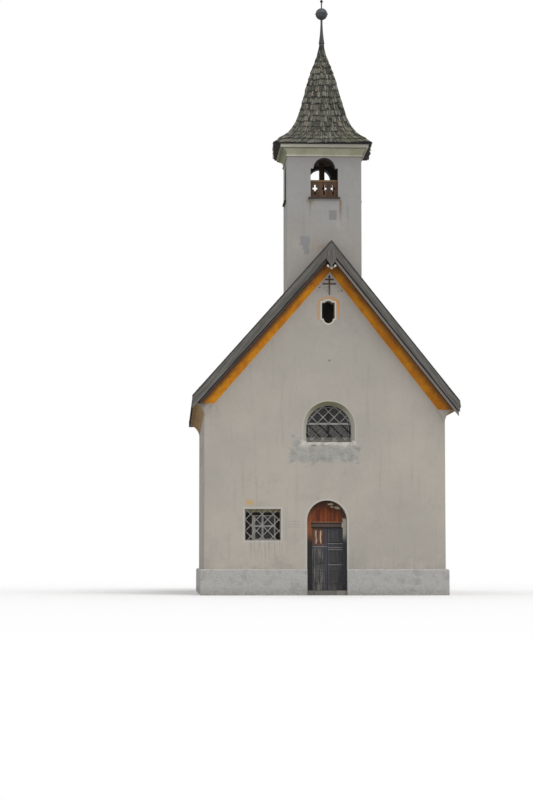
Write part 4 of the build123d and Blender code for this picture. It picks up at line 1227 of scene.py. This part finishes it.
def slope_rows(slope):
    rows = []
    rise = np.array(slope.normal)
    up = -np.array(slope.down)
    across = np.array((0.0, 1.0, 0.0)) if slope.side < 0 else np.array((0.0, -1.0, 0.0))
    start, end = slope.front - verge_overhang, slope.back - back_inset
    for number in range(int(slope.length / course) + 1):
        reach = slope.length - number * course
        place = first = start + dice.uniform(0, 0.04)
        while place < end:
            at_verge = place == first
            width = min(shingle_width * dice.uniform(0.4 if at_verge else 0.72, 1.25), end - place)
            jump = dice.normal(0, 0.006) if number else -0.004
            butt = slope.ridge + slope.down * (min(reach, reach + jump))
            middle = Vector((butt.x, place + width / 2, butt.z))
            if reach > 0.1 and width > 0.03 and not inside_tower(middle):
                length = min(shingle_length, reach - 0.02)
                lift = dice.uniform(*nave_lift)
                lift += (at_verge and number > 0) * dice.choice(verge_lifts)
                lean = dice.normal(0, 0.012)
                tilt = up - rise * lift / shingle_length + across * lean
                tilt = tilt / np.linalg.norm(tilt)
                out = np.cross(across, tilt)
                base = np.array(middle) + rise * (lift - deck_drop)
                thickness = dice.uniform(*nave_thickness)
                rows.append((base, across, tilt, out, width - side_joint, length, thickness, 0.0, 0.0))
            place += width
    return rows

# %% [markdown]
# Under the shingles lie the boards that they are nailed to, which show from below and at the verge. They are
# a copy of the slab with its top lowered, and its boards are seams in the finish.

# %% Deck and shingles of each slope
deck_board = 0.18
for slope in roof_sides:
    side = slope.name.split("_")[1]
    deck = merged_copy(slope.name)
    for vert in deck.verts:
        if abs(slope.normal.dot(vert.co) - slope.offset) < 0.002:
            vert.co -= slope.normal * deck_drop
    wood = timber("deck_boards_" + side, ((82, 66, 50), (110, 90, 68), (134, 114, 92)),
                  (along_y, down_slope, along_z))
    gap = wood.make("Math", {"operation": "FRACT"}, {0: down_slope(wood) / deck_board})
    seam = abs(gap - 0.5).fade(0.47, 0.49)
    wood.brush(seam, 24, 20, 16)
    wood.surface(wood.blot * 0.15 + 0.75, wood.relief - seam, 0.003)
    shown("roof_deck_" + side, deck, "chapel", "shingle", wood.material, slope.name)
    lay("shingles_" + side, slope_rows(slope), nave_shingle, (slope.name,))

# %% [markdown]
# Two boards close the ridge. Each is a bevelled plank laid on its slope, and the tower interrupts them.

# %% Ridge boards
def plank(bm, corner, along, across, out, length, width, thickness):
    """A plank from one corner, with eased edges."""
    made = bmesh.ops.create_cube(bm, size=1.0)["verts"]
    turn = Matrix((along * length, across * width, out * thickness)).transposed().to_4x4()
    shift = Matrix.Translation(corner + (along * length + across * width + out * thickness) / 2)
    bmesh.ops.transform(bm, matrix=shift @ turn, verts=made)
    edges = list({edge for vert in made for edge in vert.link_edges})
    bmesh.ops.bevel(bm, geom=edges, offset=0.004, segments=1, affect="EDGES", profile=0.5, material=-1)


ridge = bmesh.new()
ahead = Vector((0, 1, 0))
board_length, board_joint, board_width, board_thickness = 2.4, 0.004, 0.17, 0.022
for slope in roof_sides:
    stretches = []
    place = tower_high.y + 0.002
    while place < slope.back:
        stretches.append((place, min(place + board_length, slope.back)))
        place += board_length + board_joint
    for start, end in stretches:
        corner = slope.ridge + slope.normal * board_thickness - slope.down * 0.015
        corner = Vector((corner.x, start, corner.z))
        plank(ridge, corner, ahead, slope.down, slope.normal, end - start, board_width, board_thickness)
bmesh.ops.recalc_face_normals(ridge, faces=ridge.faces)
wood = timber("ridge_timber", ((66, 63, 59), (94, 91, 86), (124, 122, 117)), (along_y, down_slope, along_z),
              moss_share=0.5)
weathered(wood)
shown("ridge_boards", ridge, "chapel", "shingle", wood.material)

# %% [markdown]
# ## Spire shingles
#
# The spire flares at its foot and is slightly turned on the tower. A ray shot at each height finds the face
# of the solid, so the courses follow its curve exactly, and each side is a turned copy of the first.

# %% Spire
spire = nodes["spire"]
spire_low, spire_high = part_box("spire")
axis = Vector(((spire_low.x + spire_high.x) / 2, (spire_low.y + spire_high.y) / 2, 0))
turn = radians(-3)


def face_distance(z):
    """How far the front face of the spire stands from its axis at a height."""
    towards = Matrix.Rotation(turn, 3, "Z") @ Vector((0, 1, 0))
    start = Vector((axis.x, axis.y, z)) - towards * 5
    hit, spot, normal, index = spire.ray_cast(start, towards)
    return 5 - (spot - start).length if hit else 0.0


profile = [(face_distance(z), z) for z in np.linspace(spire_low.z + 0.004, spire_high.z - 0.02, 160)]
path = [0.0]
for (r0, z0), (r1, z1) in zip(profile, profile[1:]):
    path.append(path[-1] + hypot(r1 - r0, z1 - z0))
radii = np.array([r for r, z in profile])
heights = np.array([z for r, z in profile])
print("spire foot", round(radii[0], 3), "top", round(radii[-1], 3), "path", round(path[-1], 2))

# %% [markdown]
# Each side gets its courses from its foot to its top. The shingles narrow towards their heads as the side
# does, and each stands out a little at its butt, so that a shadow line shows below it.

# %% Courses of the spire
spire_course = 0.22
spire_length = 0.32
spire_width = 0.078
spire_lift, spire_gap, spire_thickness = (0.0, 0.007), (0.003, 0.014), (0.014, 0.034)


def spire_rows():
    rows = []
    for quarter in range(4):
        spin = np.array(Matrix.Rotation(turn + quarter * pi / 2, 3, "Z"))
        for number in range(int((path[-1] - 0.05) / spire_course)):
            place = number * spire_course
            radius, height = np.interp(place, path, radii), np.interp(place, path, heights)
            ahead = place + spire_length
            ahead_r, ahead_z = np.interp(ahead, path, radii), np.interp(ahead, path, heights)
            length = hypot(ahead_r - radius, ahead_z - height)
            tilt = np.array((0.0, (radius - ahead_r) / length, (ahead_z - height) / length))
            across = np.array((1.0, 0.0, 0.0))
            out = np.cross(across, tilt)
            count = max(2, ceil(2 * radius / spire_width))
            shrink = spire_length / length * (ahead_r / radius - 1)
            cuts = np.sort(np.linspace(-1, 1, count + 1)[1:-1] + dice.normal(0, 0.42 / count, count - 1))
            cuts = np.concatenate([[-1], cuts, [1]]) * (radius + 0.004)
            for left, right in zip(cuts, cuts[1:]):
                lift = dice.uniform(*spire_lift)
                drop = dice.normal(0, 0.026)
                middle = np.array(((left + right) / 2, -radius, height)) - out * 0.004 + out * lift
                middle = middle + tilt * (drop if number else -abs(drop))
                lean = tilt - out * 0.03
                lean = lean / np.linalg.norm(lean)
                face = np.cross(across, lean)
                butt = spin @ middle + np.array(axis)
                wide = right - left - dice.uniform(*spire_gap)
                thickness = dice.uniform(*spire_thickness)
                rows.append((butt, spin @ across, spin @ lean, spin @ face, wide, spire_length, thickness,
                             left * shrink, right * shrink))
    return rows


def beside_spire(wood):
    return wood.x + wood.y


spire_shingle = shingle_finish(
    "spire_shingles", along_z, beside_spire, ((42, 42, 37), (128, 127, 115), (122, 94, 78)), moss_share=0.8,
    exposed=spire_course, pitted=0.7)
lay("shingles_spire", spire_rows(), spire_shingle)
dress(spire_shingle, "spire")

# %% [markdown]
# ## Floor, sky and sun
#
# A wide pale floor catches a soft shadow and fades to white far away, so no horizon shows. The sky lights all
# sides evenly, as on the grey day of the photograph, and a weak broad sun from the front right keeps the left
# side of the tower a little darker.

# %% Stage
bm = bmesh.new()
bmesh.ops.create_grid(bm, x_segments=1, y_segments=1, size=600)
floor_mesh = bpy.data.meshes.new("stage_floor")
bm.to_mesh(floor_mesh)
bm.free()
stage = placed("stage_floor", floor_mesh)
pale = Finish("stage_pale", Roughness=0.95)
away = (pale.x * pale.x + pale.y * pale.y).root()
seen = pale.make("LightPath", output="Is Camera Ray")
shadowed, lit = ((level, level, level, 1) for level in (0.55, 0.93))
pale.plug(pale.paint(seen, shadowed, lit), pale.shader.inputs["Base Color"])
glow = pale.make("Emission", {}, {"Color": (1, 1, 1, 1), "Strength": 1.0})
solid = Signal(pale, pale.shader.outputs[0])
fade_start, fade_end = 14, 60
fading = away.fade(fade_start, fade_end) * seen
mixed = pale.make("MixShader", {}, {0: fading, 1: solid, 2: glow})
pale.tree.links.new(mixed.socket, pale.tree.nodes["Material Output"].inputs["Surface"])
floor_mesh.materials.append(pale.material)
print("floor fades between", fade_start, "and", fade_end, "m")

# %% [markdown]
# The camera, mirrors and glass see a white sky, and everything else is lit by a slightly darker one. A Light
# Path node tells these rays apart, so the background stays white without more light on the walls.

# %% Sky and sun
world = bpy.data.worlds.new("sky")
bpy.context.scene.world = world
world.use_nodes = True
sky = Nodes(world.node_tree)
looked_at = strongest(sky.make("LightPath", output="Is " + kind + " Ray")
                      for kind in ("Camera", "Glossy", "Transmission"))
background = world.node_tree.nodes["Background"]
background.inputs["Color"].default_value = (1, 1, 1, 1)
sky_level = 0.78
sky.plug(looked_at * (1 - sky_level) + sky_level, background.inputs["Strength"])
sun_data = bpy.data.lights.new("sun", "SUN")
sun_data.energy = 1.1
sun_data.angle = radians(35)
sun = placed("sun", sun_data)
sun_aside, sun_height = radians(30), radians(50)
level = cos(sun_height)
towards_sun = Vector((sin(sun_aside) * level, -cos(sun_aside) * level, sin(sun_height)))
sun.rotation_euler = towards_sun.to_track_quat("Z", "Y").to_euler()
print("sun", sun_data.energy, "sky", sky_level)
